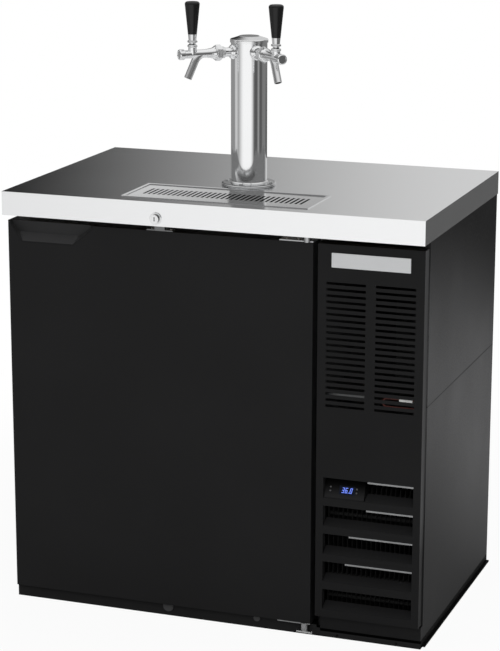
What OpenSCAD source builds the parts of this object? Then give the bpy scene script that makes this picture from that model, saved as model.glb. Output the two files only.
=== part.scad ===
// Draft beer cooler: an insulated keg cabinet with a machine compartment beside it, a bright counter top
// with a drip tray, and a tower with two taps.
// X runs right, Y runs to the back, Z runs up. The origin is on the floor under the middle.

/* [Counter top] */
// Width of the counter top
top_w = 914; // [860:1:1000]
// Depth of the counter top
top_d = 596; // [570:1:680]
// Height of the counter top above the floor
top_h = 904; // [870:1:960]
// Thickness of the counter's edge
top_t = 50; // [46:1:64]
// Thickness of the sheet metal
sheet_t = 1.5; // [1:0.1:2]
// Width of the lip turned in under the counter's edge
lip_w = 18; // [12:1:19]

/* [Cabinet] */
// Setback of the cabinet's sides from the counter's ends
side_inset = 1; // [0:0.5:6]
// Setback of the cabinet's back from the counter's back edge
back_inset = 4; // [0:0.5:12]
// Thickness of the insulated walls
wall_t = 42; // [36:1:50]
// Height of the base frame
base_h = 18; // [14:1:20]
// Width of the foot flange past the cabinet's sides
base_flange = 5.5; // [2:0.5:8]
// Width of the base frame's rails
rail_w = 45; // [35:1:60]
// Width of the turned-in jambs that carry the machine panel
jamb_w = 12; // [8:1:14]

/* [Door and panel] */
// How far the counter overhangs the door
overhang = 20; // [16:1:26]
// Thickness of the door
door_t = 48; // [42:1:54]
// Thickness of the closed door gasket
gasket_t = 10; // [8:0.5:12]
// Width of the door gasket
gasket_w = 12; // [9:0.5:13]
// Gap above the door and the panel
top_gap = 14; // [12:0.5:18]
// Height of the door's bottom edge
door_z = 28.6; // [27:0.2:34]
// Width of the machine panel
panel_w = 222.5; // [214:0.5:240]
// Depth of the machine panel
panel_d = 26; // [22:1:30]
// Height of the machine panel's bottom edge
panel_z = 48.7; // [46:0.1:54]
// Gap between the door and the panel
seam = 10.5; // [8:0.5:14]
// Setback of the door and the panel from the counter's ends
front_inset = 3.7; // [3:0.1:6]
// Setback of the base front and the kick plate from the door's face
kick_inset = 12; // [12:0.5:18]

/* [Panel openings] */
// Number of rows of vent slots
vent_rows = 21; // [12:1:21]
// Pitch of the vent slots
vent_pitch = 12.73; // [11:0.01:13]
// Width of a vent slot
vent_w = 82.5; // [70:0.5:86]
// Height of a vent slot
vent_h = 5.5; // [4:0.1:6.5]
// Distance of the top vent slot below the panel's top edge
vent_drop = 80; // [72:1:90]
// Width of the plain strip between the two columns of slots
vent_gap = 21; // [16:0.5:26]
// Number of louvre windows
window_rows = 5; // [3:1:5]
// Pitch of the louvre windows
window_pitch = 60.6; // [56:0.1:62]
// Width of a louvre window
window_w = 191; // [180:1:194]
// Height of a louvre window
window_h = 43.5; // [38:0.5:46]
// Height of the lowest window's lower edge above the panel's bottom edge
window_z = 17.5; // [14:0.5:22]
// Rise of a louvre vane
vane_rise = 11; // [8:1:20]
// Thickness of a louvre vane
vane_t = 1.6; // [1.2:0.1:2.4]
// Width of the badge plate
badge_w = 164; // [120:1:180]
// Height of the badge plate
badge_h = 29.7; // [20:0.1:34]
// Distance of the badge plate below the panel's top edge
badge_drop = 17; // [10:0.5:24]

/* [Handle pocket] */
// Distance of the pocket from the door's left edge
pocket_x = 6; // [5:0.5:20]
// Width of the pocket at the door's top edge
pocket_w = 185; // [150:1:220]
// Height of the pocket
pocket_h = 43; // [36:1:60]
// Depth of the pocket at its deepest line
pocket_d = 16; // [12:1:22]
// Wall of the handle cup round the pocket
cup_wall = 3; // [2:0.5:4.5]

/* [Lock and hinges] */
// Distance of the lock from the counter's middle
lock_x = 111; // [60:1:160]
// Distance of the lock below the counter's surface
lock_drop = 34; // [31:0.5:35]
// Radius of the lock's head ring
lock_ring_r = 12.5; // [11:0.5:14]
// Radius of the lock barrel
lock_r = 9.5; // [8:0.5:10.5]
// Radius of the lock plug
lock_plug_r = 6; // [4.5:0.5:6.5]
// Radius of the hinge pins
pin_r = 4; // [3:0.25:5]
// Radius of the hinge knuckles
knuckle_r = 7.5; // [6.5:0.25:7.5]
// Distance of the hinge pins from the door's right edge
pin_x = 13.3; // [9:0.1:13.5]
// Distance of the hinge pins behind the door's face
pin_y = 4; // [2:0.25:4]
// Length of the hinge plates
hinge_w = 72; // [56:1:90]

/* [Drip tray] */
// Width of the drip tray
tray_w = 406; // [320:1:460]
// Depth of the drip tray from front to back
tray_d = 152; // [120:1:152]
// Distance of the drip tray from the counter's front edge
tray_setback = 36; // [30:1:38]
// Depth of the drip tray's basin
tray_deep = 23; // [14:0.5:26]
// Width of the drip tray's flange
tray_flange = 7; // [5:0.5:10]
// Width of the ledge that carries the grate
tray_ledge = 6; // [4:0.5:8]
// Number of slots in the drip grate
grate_slots = 33; // [15:1:33]
// Pitch of the grate's slots
grate_pitch = 10.7; // [8:0.1:10.8]
// Width of a grate slot
grate_slot_w = 5; // [3:0.1:5.5]
// Length of a grate slot
grate_slot_l = 60; // [40:1:90]
// Radius of the tray's drain spud
drain_r = 9.5; // [8:0.5:12]

/* [Tower] */
// Diameter of the tower column
tower_d = 76.2; // [72:0.1:84]
// Height of the tower column above the counter
tower_h = 301.5; // [285:0.5:340]
// Distance of the tower's axis from the counter's front edge
tower_setback = 251; // [251:1:275]
// Diameter of the tower's flange
flange_d = 116; // [110:1:120]
// Thickness of the tower's flange
flange_t = 7; // [5:0.5:9]
// Height of the tower's cap
cap_h = 13.5; // [11:0.5:24]
// Overhang of the cap's rim
cap_rim = 1.9; // [1:0.1:3]
// Radius of the tower's screw circle
tower_screw_r = 48.5; // [46.5:0.5:51]

/* [Taps] */
// Angle of each tap from the front
tap_angle = 45; // [42:1:60]
// Distance of the taps below the column's top
tap_drop = 18.5; // [18:0.5:30]
// Distance of the tap's front end from the tower's axis
tap_reach = 160; // [158:1:166]
// Radius of the cap on the tap's front end
tap_front_r = 10.9; // [10:0.1:11.4]
// Radius of the tap body at its waist
tap_rear_r = 8.4; // [8:0.1:9]
// Length of the straight part of the spout
spout_l = 38.5; // [30:0.5:48]
// Outer radius of the spout
spout_r = 8; // [7:0.1:8.2]
// Wall of the spout
spout_wall = 1.6; // [1.2:0.1:2.2]
// Forward lean of the spout
spout_lean = 25; // [14:1:30]
// Radius of the coupling nut across its corners
nut_r = 17; // [16.2:0.1:19]
// Radius of the shank
shank_r = 9.5; // [8.5:0.25:11]
// Radius of the ring round the tap's bonnet
bonnet_r = 10.5; // [9.8:0.1:10.8]
// Radius of the lever's ball
ball_r = 5; // [4.4:0.1:5.2]
// Length of the lever's lower arm
lever_arm = 10; // [9.8:0.1:10.6]
// Radius of the valve plunger
plunger_r = 4.5; // [3.9:0.1:4.6]
// Length of the tap handle
handle_l = 67; // [50:1:120]
// Radius of the handle's upper end
handle_top_r = 15.5; // [11:0.5:20]
// Radius of the handle's lower end
handle_low_r = 9.25; // [8:0.25:11]

/* [Controller] */
// Width of the controller
control_w = 85; // [76:1:96]
// Height of the controller's face
control_h = 38; // [34:0.5:39]
// Distance that the top of the controller's face leans back
control_lean = 18; // [12:1:22]
// Radius of a controller button
button_r = 1.8; // [1.4:0.1:2.8]
// Distance between the left and the right buttons
button_span = 56; // [50:0.5:62]
// Width of the display
display_w = 34; // [26:0.5:40]
// Height of the display
display_h = 18; // [14:0.5:22]

/* [Cooling] */
// Radius of the condenser fan
fan_r = 84; // [60:1:88]
// Number of condenser fan blades
fan_blades = 5; // [3:1:7]
// Radius of the compressor's housing
comp_r = 74; // [60:1:90]
// Height of the compressor's housing
comp_h = 176; // [140:1:220]
// Number of condenser fins
cond_fins = 18; // [10:1:24]
// Height of the condenser's core
cond_h = 270; // [220:1:300]
// Depth of the condenser's core
cond_d = 36; // [28:1:44]
// Width of the evaporator cover along the partition
evap_l = 260; // [220:1:320]
// Height of the evaporator cover
evap_h = 310; // [280:1:340]
// Depth of the evaporator cover from the partition
evap_d = 70; // [62:1:80]
// Radius of the evaporator fan
evap_fan_r = 56; // [40:1:62]
// Radius of the red lead
lead_r = 2; // [1.5:0.1:2.5]

/* [Clearances] */
// Running clearance round pins, shafts and plugs
run_clear = 0.05; // [0.02:0.01:0.08]
// Clearance of pieces that must not touch
clear = 0.4; // [0.3:0.05:0.6]

/* [Hidden] */
$fn = 64;
eps = 1;

// Planes of the counter and the cabinet; the lock stands proud of the counter's front edge
ring_t = 3;
plug_head_t = 4.5;
lock_proud = ring_t + clear + plug_head_t;
x_edge = top_w / 2;
y_front = (lock_proud - top_d) / 2;
y_back = y_front + top_d;
z_slab = top_h - top_t;
cab_x = x_edge - side_inset;
cab_y = y_back - back_inset;

// Planes of the door and the machine panel
y_face = y_front + overhang;
y_door = y_face + door_t;
y_seal = y_door + gasket_t;
y_kick = y_face + kick_inset;
y_machine = y_face + panel_d;
x_panel1 = x_edge - front_inset;
x_panel0 = x_panel1 - panel_w;
x_door0 = -x_edge + front_inset;
x_door1 = x_panel0 - seam;
z_front1 = z_slab - top_gap;
x_part = x_panel0;

// Inside of the keg compartment
x_liner0 = -cab_x + wall_t;
x_liner1 = x_part - wall_t;
y_liner1 = cab_y - wall_t;
z_liner0 = base_h + wall_t;
z_liner1 = z_slab - wall_t;

// Machine compartment
x_m0 = x_part + sheet_t;
x_m1 = cab_x - sheet_t;
x_mc = (x_m0 + x_m1) / 2;
z_floor = base_h + sheet_t;

// Panel openings
x_pc = (x_panel0 + x_panel1) / 2;
vent_z = z_front1 - vent_drop;
window_low = panel_z + window_z;
window_x0 = x_pc - window_w / 2;
window_x1 = x_pc + window_w / 2;

// Drip tray
tray_y = y_front + tray_setback + tray_d / 2;
recess_w = tray_w - 2 * tray_flange;
recess_d = tray_d - 2 * tray_flange;
basin_w = recess_w - 2 * tray_ledge;
basin_d = recess_d - 2 * tray_ledge;
ledge_drop = 2;
z_ledge = top_h - ledge_drop;
z_basin = top_h - tray_deep;
grate_t = 1.5;
drain_l = tray_deep + 10;
drain_hole_r = drain_r + 8;
drain_lip = 4;

// Tower and taps
tower_y = y_front + tower_setback;
tower_r = tower_d / 2;
tower_wall = 1.6;
tower_hole_r = tower_r - 6;
z_tower = top_h + tower_h;
z_tap = z_tower - tap_drop;
shank_in = 18;
lock_nut_x = 23;
lock_nut_t = 8;
lock_nut_r = 14;
nut_x0 = 57.5;
nut_hex_x = 65.5;
nut_x1 = 77.5;
nut_cone_r = shank_r + 2;
tail_x = 69.5;
collar_t = 3;
tail_r = nut_r - 3.5;
body_flange_r = nut_r - 3;
flare_l = 34;
nose_r = 3;
nose_l = 11;
nose_dish = 0.8;
lever_x = tap_reach - 31;
pivot_z = lever_arm;
seat_x = 76;
seat_t = 4;
chamber_r = 6.5;
chamber_x1 = lever_x - 8;
guide_x1 = tap_reach - 10;
plunger_x1 = guide_x1 - 4;
washer_t = 3.6;
washer_r = 7;
stem_r = 3;
well_r = ball_r + 2;
shank_bore_r = 5;
shank_cup = 4;
spout_x = lever_x - 29;
spout_bend = 26;
spout_bore_r = spout_r - spout_wall;
lever_tip_r = 2.4;
lever_stem_r = 2.8;
lever_tilt = 30;
bonnet_round = 3;
bonnet_rise = 6.8;
bonnet_neck_r = bonnet_r - 2;
boss_r = bonnet_neck_r + 0.9;
collar_z = bonnet_rise + bonnet_round + 3.5;
collar_h = 5.2;
collar_r = bonnet_r;
dome_r = collar_z - 0.7;
ferrule_h = 12.5;
hub_r = 6.7;
hub_cup_r = norm([bonnet_r - bonnet_round, bonnet_rise]) + bonnet_round + clear;
ferrule_low_r = collar_r - 2.7;
ferrule_top_r = handle_low_r - 0.25;
handle_z = collar_z + collar_h + ferrule_h;
stud_r = 4.75;
stud_l = 16;

// Hinges and lock
hinge_x = x_door1 - pin_x;
hinge_y = y_face + pin_y;
plate_t = 2.5;
hinge_d = 27;
bracket_t = 3;
bracket_half = 15;
z_hinge_low = door_z - plate_t;
z_rail = z_hinge_low - 2;
z_bracket = base_h - 6;
lock_z = top_h - lock_drop;
cam_gap = 6;
cam_len = lock_z - z_front1 - cam_gap;
cam_t = 3;
cam_w = 8;
tab_t = 2;
tab_y = y_face + 1;
cam_room = 1;
cam_y = tab_y + tab_t + cam_room;
barrel_y1 = cam_y - clear;
plug_head_r = lock_ring_r - 3.5;

// Handle pocket
pocket_x0 = x_door0 + pocket_x;
pocket_edge = 8;
pocket_slant_l = 26;
pocket_slant_r = 44;
pocket_break = 26;
pocket_mouth = 7;
pocket_draft = 14;

// Controller
cond_gap = 14;
control_x0 = window_x0 + 1;
control_x1 = control_x0 + control_w;
control_z0 = window_low + (window_rows - 1) * window_pitch + 1;
control_tilt = atan(control_lean / control_h);
control_y0 = y_face + sheet_t + clear;
control_back = panel_d + cond_gap - sheet_t - clear - 3;
display_t = 1;
display_s = 9;
button_travel = 0.8;
button_proud = 1.4;
button_deep = 3;
button_s = [14.5, 22.5];

// Cooling
cond_side = 14;
cond_lift = 40;
cond_y0 = y_machine + cond_gap;
cond_y1 = cond_y0 + cond_d;
cond_x0 = x_m0 + cond_side;
cond_x1 = x_m1 - cond_side;
cond_z0 = z_floor + cond_lift;
cond_z1 = cond_z0 + cond_h;
cond_plate = 2;
fin_t = 0.8;
cond_tube_r = 4.5;
cond_tube_rows = 6;
fan_z = cond_z0 + cond_h / 2;
fan_clear = 4;
shroud_ring = 22;
shroud_t = 2;
fan_y0 = cond_y1 + shroud_t + 4;
fan_hub_r = 18;
fan_hub_l = 18;
blade_pitch = 28;
blade_t = 1.6;
shaft_r = 3;
motor_y0 = fan_y0 + fan_hub_l + 4;
motor_r = 28;
motor_l = 44;
comp_y = cab_y - comp_r - 60;
evap_y = (y_seal + y_liner1) / 2;
evap_z1 = z_liner1 - 22;
evap_z0 = evap_z1 - evap_h;
evap_y0 = evap_y - evap_l / 2;
evap_y1 = evap_y + evap_l / 2;
evap_x0 = x_liner1 - evap_d;
evap_fan_z = evap_z1 - evap_fan_r - 24;
evap_fan_y = evap_y;
evap_coil_h = evap_h - 2 * evap_fan_r - 60;
shelf_z = vent_z - (vent_rows - 2) * vent_pitch;
shelf_rise = 6.5;
shelf_fall = 4.5;
shelf_split = x_m0 + 112;
shelf_deep = 190;
block_x0 = x_m1 - 52;
block_w = 28;
block_h = 13;
block_d = 16;
block_front = 5.5;
block_low = 9.6;
block_z = shelf_z + vent_pitch - block_low;

// Details of the base, the panel and the shelf
rail_lip = kick_inset;
rail_plug_t = 2.5;
rail_plug_lift = 3;
rail_plug_at = [[-102, 11.5], [99, 7]];
kick_gap = 2;
nose_z = base_h * 0.7;
base_nose_r = 4;
nose_groove = 5;
foot_t = 3.5;
foot_setback = 15;
kick_x0 = x_part + 8;
rear_slots = 10;
rear_slot_w = 140;
rear_slot_h = 6;
rear_slot_pitch = 24;
rear_slot_z = 70;
vane_foot = 6;
vane_gap = 2;
louvre_rail_h = 9;
louvre_rail_show = 4;
louvre_rail_in = 8;
louvre_rail_start = [0.25, 0.29, 0.48, 0.48];
badge_t = 2;
badge_corner = 1;
screw_head_r = 4;
screw_head_h = 2;
rail_screw_r = 2.4;
rail_screw_z = base_h * 0.32;
rail_screw_in = [37, 52];
button_shift = 2.5;
display_x = control_w / 2 + 5;
shelf_gap = 1;
shelf_tongue = 8;
block_hole_r = 2.5;
block_hole_d = 3;
lead_bend = 8;
lead_drop = 8;
lead_in = 8;
lead_run = 26;
lead_out = 4;

// Details of the cooling pieces
comp_foot = 12;
comp_box = 56;
evap_gap = 12;
evap_fins = 16;
evap_coil_d = 40;
evap_slots = 8;
evap_slot_w = 3;
evap_blades = 4;
evap_motor_l = 26;
evap_motor_r = 22;
evap_hub_l = 12;
evap_hub_r = 14;
evap_fan_x = evap_x0 + sheet_t + 6;

// Details of the lock, the door and the tower
lock_room = 4;
key_w = 2;
key_h = 9;
key_d = 3;
strike_w = 57;
strike_d = 20;
tab_w = 22;
field_margin = 24;
field_t = 6;
gasket_in = 3;
gasket_fold = 3;
cup_d = pocket_d + cup_wall;
flange_edge = 3;
cap_top_r = 22;
cap_skirt = 7.5;
cap_round = 2.5;
cap_seat_h = tap_drop - shank_r - 3;
cap_seat_w = 2.5;
cap_edge = 1;

// Details of the taps
esc_r = 15.5;
esc_t = 6.5;
esc_round = 5;
nut_bevel = 1.6;
body_flange_t = 2;
bonnet_low = 2;
slot_tilt = lever_tilt + 2;
lever_arm_r = lever_tip_r - 0.4;
slot_low = lever_tip_r + 0.8;
slot_high = slot_low + 2;
slot_deep = 3;
slot_step = 2;

// Box between two opposite corners
module block(low, high) {
    translate(low) cube(high - low);
}

// Round bars along each axis
module rod_x(r, x0, x1) {
    translate([x0, 0, 0]) rotate([0, 90, 0]) cylinder(r = r, h = x1 - x0);
}

module rod_y(r, y0, y1) {
    translate([0, y0, 0]) rotate([-90, 0, 0]) cylinder(r = r, h = y1 - y0);
}

module rod_z(r, z0, z1) {
    translate([0, 0, z0]) cylinder(r = r, h = z1 - z0);
}

// A drawing in X and Z made solid between two Y planes
module solid_xz(y0, y1) {
    translate([0, y1, 0]) rotate([90, 0, 0]) linear_extrude(y1 - y0) children();
}

// A drawing in Y and Z made solid between two X planes
module solid_yz(x0, x1) {
    translate([x0, 0, 0]) rotate([90, 0, 90]) linear_extrude(x1 - x0) children();
}

// Rectangle with round corners, centred
module round_rect(w, h, r) {
    square([w - 2 * r, h], center = true);
    square([w, h - 2 * r], center = true);
    for (sx = [-1, 1], sy = [-1, 1])
        translate([sx * (w / 2 - r), sy * (h / 2 - r)]) circle(r);
}

// Points of an arc, for revolved profiles
function arc(cx, cy, r, a0, a1, n = 8) =
    [for (i = [0 : n]) [cx + r * cos(a0 + (a1 - a0) * i / n), cy + r * sin(a0 + (a1 - a0) * i / n)]];

// Smooth blend from one radius to another along a length
function blend(r0, r1, x0, x1, n = 8) =
    [for (i = [0 : n]) [r1 + (r0 - r1) * (1 - sin(90 * i / n)), x0 + (x1 - x0) * (1 - cos(90 * i / n))]];

// Base frame

module base_frame() color("#161616") {
    difference() {
        union() {
            block([-cab_x, y_kick, 0], [cab_x, cab_y, base_h]);
            block([-cab_x - base_flange, y_kick + foot_setback, 0], [cab_x + base_flange, cab_y, foot_t]);
        }
        block([-cab_x + rail_w, y_kick + rail_w, -eps], [x_part - rail_w / 2, cab_y - rail_w, base_h + eps]);
        block([x_part + rail_w / 2, y_kick + rail_w, -eps], [cab_x - rail_w, cab_y - rail_w, base_h + eps]);
        solid_yz(kick_x0, cab_x + eps) polygon(concat(
            [[y_kick - eps, base_h + eps], [y_kick - eps, nose_z - base_nose_r]],
            arc(y_kick + base_nose_r, nose_z - base_nose_r, base_nose_r, 180, 90),
            [[y_kick + nose_groove, nose_z], [y_kick + nose_groove, base_h + eps]]
        ));
    }
    block([-cab_x, y_kick, base_h], [x_part, y_kick + rail_lip, z_rail]);
}

module rail_plugs() color("#5a5a5a") {
    for (p = rail_plug_at)
        intersection() {
            translate([p[0], 0, base_h + rail_plug_lift]) rod_y(p[1], y_kick - rail_plug_t, y_kick);
            block([-x_edge, y_front, 0], [x_edge, y_back, z_rail]);
        }
}

module kick_plate() color("#1c1c1c") {
    difference() {
        block([kick_x0, y_kick, base_h], [cab_x, y_machine, panel_z - kick_gap]);
        block(
            [kick_x0 + sheet_t, y_kick + sheet_t, base_h - eps],
            [cab_x - sheet_t, y_machine + eps, panel_z]
        );
    }
}

// Cabinet

module cabinet_shell() color("#2b2b2b") {
    difference() {
        union() {
            block([-cab_x, y_seal, base_h], [-cab_x + sheet_t, cab_y, z_slab]);
            block([cab_x - sheet_t, y_machine, base_h], [cab_x, cab_y, z_slab]);
            block([-cab_x, cab_y - sheet_t, base_h], [cab_x, cab_y, z_slab]);
            block([x_part, y_machine, base_h], [x_m0, cab_y, z_slab]);
            block([-cab_x, y_seal, base_h], [x_m0, cab_y, z_floor]);
            block([x_part, y_machine, base_h], [cab_x, cab_y, z_floor]);
            block([x_part, y_machine, base_h], [x_part + jamb_w, y_machine + sheet_t, z_slab]);
            block([cab_x - jamb_w, y_machine, base_h], [cab_x, y_machine + sheet_t, z_slab]);
        }
        for (i = [0 : rear_slots - 1])
            translate([x_mc, cab_y, z_floor + rear_slot_z + i * rear_slot_pitch])
                block([-rear_slot_w / 2, -sheet_t - eps, 0], [rear_slot_w / 2, eps, rear_slot_h]);
    }
}

module top_passages(z0, z1) {
    translate([0, tower_y, 0]) rod_z(tower_hole_r, z0, z1);
    translate([0, tray_y, 0]) rod_z(drain_hole_r, z0, z1);
}

module insulation() color("#e8d9a8") {
    difference() {
        block([-cab_x + sheet_t, y_seal + sheet_t, z_floor], [x_part, cab_y - sheet_t, z_slab]);
        block(
            [x_liner0 - sheet_t, y_seal, z_liner0 - sheet_t],
            [x_liner1 + sheet_t, y_liner1 + sheet_t, z_liner1 + sheet_t]
        );
        top_passages(z_liner1, z_slab + eps);
    }
}

module cabinet_liner() color("#c9ccce") {
    difference() {
        union() {
            block(
                [x_liner0 - sheet_t, y_seal, z_liner0 - sheet_t],
                [x_liner1 + sheet_t, y_liner1 + sheet_t, z_liner1 + sheet_t]
            );
            block([-cab_x + sheet_t, y_seal, z_floor], [x_part, y_seal + sheet_t, z_slab]);
        }
        block([x_liner0, y_seal - eps, z_liner0], [x_liner1, y_liner1, z_liner1]);
        top_passages(z_liner1 - eps, z_liner1 + sheet_t + eps);
    }
}

// Counter top

module tray_opening(grow, z0, z1) {
    half_w = recess_w / 2 + sheet_t + grow;
    half_d = recess_d / 2 + sheet_t + grow;
    translate([0, tray_y, 0]) block([-half_w, -half_d, z0], [half_w, half_d, z1]);
}

module lock_pocket() {
    reach = cam_len + cam_w;
    block(
        [-lock_x - reach, y_front + sheet_t, z_slab - eps],
        [-lock_x + reach, cam_y + cam_t + lock_room, lock_z + lock_r + lock_room]
    );
}

module counter_top() color("#d9dbdc") {
    difference() {
        block([-x_edge, y_front, z_slab], [x_edge, y_back, top_h]);
        block(
            [-x_edge + sheet_t, y_front + sheet_t, z_slab + sheet_t],
            [x_edge - sheet_t, y_back - sheet_t, top_h - sheet_t]
        );
        block(
            [-x_edge + lip_w, y_front + lip_w, z_slab - eps],
            [x_edge - lip_w, y_back - lip_w, z_slab + 2 * sheet_t]
        );
        tray_opening(clear, z_slab + 2 * sheet_t, top_h + eps);
        translate([0, tower_y, 0]) rod_z(tower_hole_r, z_slab, top_h + eps);
        translate([-lock_x, 0, lock_z]) rod_y(lock_r + run_clear, y_front - eps, y_front + 2 * sheet_t);
    }
}

module counter_core() color("#b89b6a") {
    difference() {
        union() {
            block(
                [-x_edge + sheet_t, y_front + sheet_t, z_slab + sheet_t],
                [x_edge - sheet_t, y_back - sheet_t, top_h - sheet_t]
            );
            block(
                [-x_edge + lip_w, y_front + lip_w, z_slab],
                [x_edge - lip_w, y_back - lip_w, z_slab + 2 * sheet_t]
            );
        }
        tray_opening(clear, z_basin - sheet_t - clear, top_h);
        top_passages(z_slab - eps, top_h);
        lock_pocket();
    }
}

module drip_tray() color("#cfd2d4") {
    translate([0, tray_y, 0]) difference() {
        union() {
            block([-tray_w / 2, -tray_d / 2, top_h], [tray_w / 2, tray_d / 2, top_h + sheet_t]);
            block(
                [-recess_w / 2 - sheet_t, -recess_d / 2 - sheet_t, z_ledge - sheet_t],
                [recess_w / 2 + sheet_t, recess_d / 2 + sheet_t, top_h + sheet_t]
            );
            block(
                [-basin_w / 2 - sheet_t, -basin_d / 2 - sheet_t, z_basin - sheet_t],
                [basin_w / 2 + sheet_t, basin_d / 2 + sheet_t, z_ledge]
            );
        }
        block([-recess_w / 2, -recess_d / 2, z_ledge], [recess_w / 2, recess_d / 2, top_h + 2 * sheet_t]);
        block([-basin_w / 2, -basin_d / 2, z_basin], [basin_w / 2, basin_d / 2, z_ledge + eps]);
        rod_z(drain_r - sheet_t, z_basin - 2 * sheet_t, z_basin + eps);
    }
}

module drain_spud() color("#c4c7c9") {
    z1 = z_basin - sheet_t;
    lip = drain_r + drain_lip;
    translate([0, tray_y, 0]) rotate_extrude() polygon([
        [drain_r - sheet_t, z1 - drain_l],
        [drain_r, z1 - drain_l],
        [drain_r, z1 - drain_lip],
        [lip, z1 - sheet_t],
        [lip, z1],
        [drain_r - sheet_t, z1]
    ]);
}

module drip_grate() color("#bfc3c5") {
    half_w = recess_w / 2 - clear;
    half_d = recess_d / 2 - clear;
    translate([0, tray_y, 0]) difference() {
        block([-half_w, -half_d, z_ledge], [half_w, half_d, z_ledge + grate_t]);
        for (i = [0 : grate_slots - 1])
            translate([(i - (grate_slots - 1) / 2) * grate_pitch, 0, 0])
                block(
                    [-grate_slot_w / 2, -grate_slot_l / 2, z_ledge - eps],
                    [grate_slot_w / 2, grate_slot_l / 2, z_ledge + grate_t + eps]
                );
    }
}

// Machine panel

module panel_windows(y0, y1) {
    for (i = [0 : window_rows - 1])
        translate([0, 0, window_low + i * window_pitch])
            block([window_x0, y0, 0], [window_x1, y1, window_h]);
}

module panel_vents(y0, y1) {
    for (i = [0 : vent_rows - 1], side = [-1, 1])
        translate([x_pc + side * (vent_gap + vent_w) / 2, 0, vent_z - i * vent_pitch])
            block([-vent_w / 2, y0, -vent_h / 2], [vent_w / 2, y1, vent_h / 2]);
}

module grille_panel() color("#232323") {
    difference() {
        block([x_panel0, y_face, panel_z], [x_panel1, y_machine, z_front1]);
        block(
            [x_panel0 + sheet_t, y_face + sheet_t, panel_z + sheet_t],
            [x_panel1 - sheet_t, y_machine + eps, z_front1 - sheet_t]
        );
        panel_windows(y_face - eps, y_face + 2 * sheet_t);
        panel_vents(y_face - eps, y_face + 2 * sheet_t);
    }
}

module louvre_vanes() color("#2a2a2a") {
    y0 = y_face + sheet_t;
    y1 = y_machine - vane_gap;
    for (i = [0 : window_rows - 1]) {
        z = window_low + i * window_pitch;
        x0 = i == window_rows - 1 ? control_x1 + vane_gap : window_x0;
        solid_yz(x0, window_x1) polygon([
            [y0, z - vane_foot],
            [y0 + vane_t, z - vane_foot],
            [y0 + vane_t, z - vane_t / 2],
            [y1, z + vane_rise - vane_t],
            [y1, z + vane_rise],
            [y0, z]
        ]);
    }
}

module louvre_rails() color("#d0d2d3") {
    y0 = y_face + sheet_t;
    for (i = [1 : window_rows - 1]) {
        z = window_low + i * window_pitch + window_h - louvre_rail_show;
        x_row = window_x0 + window_w * louvre_rail_start[i - 1];
        x0 = i == window_rows - 1 ? control_x1 + louvre_rail_in : x_row;
        block([x0, y0, z], [window_x1, y0 + vane_t, z + louvre_rail_h]);
    }
}

module badge_plate() color("#e6e7e8") {
    translate([x_pc, 0, z_front1 - badge_drop - badge_h / 2])
        solid_xz(y_face - badge_t, y_face) round_rect(badge_w, badge_h, badge_corner);
}

module case_screws() color("#c4c7c9") {
    for (x = [kick_x0 + rail_screw_in[0], cab_x - rail_screw_in[1]])
        translate([x, 0, rail_screw_z]) rod_y(rail_screw_r, y_kick - screw_head_h, y_kick);
    for (a = [0 : 90 : 270])
        translate([0, tower_y, top_h + flange_t]) rotate(a) translate([tower_screw_r, 0, 0])
            cylinder(r = screw_head_r, h = screw_head_h);
}

// Temperature controller

// Moves a drawing made on the flat face of the controller to its leaning face
module on_control_face() {
    translate([control_x0, control_y0, control_z0]) rotate([90 - control_tilt, 0, 0]) children();
}

module button_holes(r, depth) {
    for (k = [0 : 3]) button_place(k) translate([0, 0, -depth]) cylinder(r = r, h = depth + eps);
}

module button_place(k) {
    side = k % 2 == 0 ? -1 : 1;
    x = control_w / 2 - button_shift + side * button_span / 2;
    on_control_face() translate([x, button_s[floor(k / 2)], 0]) children();
}

module display_shape(grow, t0, t1) {
    on_control_face()
        translate([display_x, display_s + display_h / 2, t0])
            linear_extrude(t1 - t0) square([display_w + grow, display_h + grow], center = true);
}

module controller_housing() color("#3a3a3a") {
    difference() {
        union() {
            solid_yz(control_x0, control_x1) polygon([
                [control_y0, control_z0],
                [control_y0 + control_lean, control_z0 + control_h],
                [control_y0 + control_back, control_z0 + control_h],
                [control_y0 + control_back, control_z0]
            ]);
            block(
                [control_x0, y_face + sheet_t, control_z0 - vane_foot - vane_t],
                [control_x1, y_face + sheet_t + vane_t, control_z0 - vane_t]
            );
            block(
                [control_x0, control_y0, control_z0 - 2 * vane_t],
                [control_x1, control_y0 + control_back, control_z0 + eps]
            );
        }
        display_shape(0, -display_t, eps);
        button_holes(button_r + clear / 2, button_deep);
    }
}

module controller_display() color("#101820") {
    display_shape(-clear / 2, -display_t, 0);
}

module control_button(k) color("#cfcfcf") {
    button_place(k) translate([0, 0, -button_deep + button_travel + clear])
        cylinder(r = button_r, h = button_deep - button_travel - clear + button_proud);
}

// Cooling pieces

module compressor() color("#1a1a1a") {
    low = 20;
    crown = 50;
    half = comp_r + comp_foot;
    translate([x_mc, comp_y, z_floor]) {
        translate([0, 0, comp_foot]) rotate_extrude() polygon(concat(
            [[0, 0], [comp_r - low, 0]],
            arc(comp_r - low, low, low, -90, 0),
            arc(comp_r - crown, comp_h - crown, crown, 0, 90),
            [[0, comp_h]]
        ));
        block([-half, -comp_r, 0], [half, comp_r, comp_foot]);
        translate([0, -comp_r, comp_foot + comp_h / 2])
            cube([comp_box, comp_box / 2, comp_box], center = true);
    }
}

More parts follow.
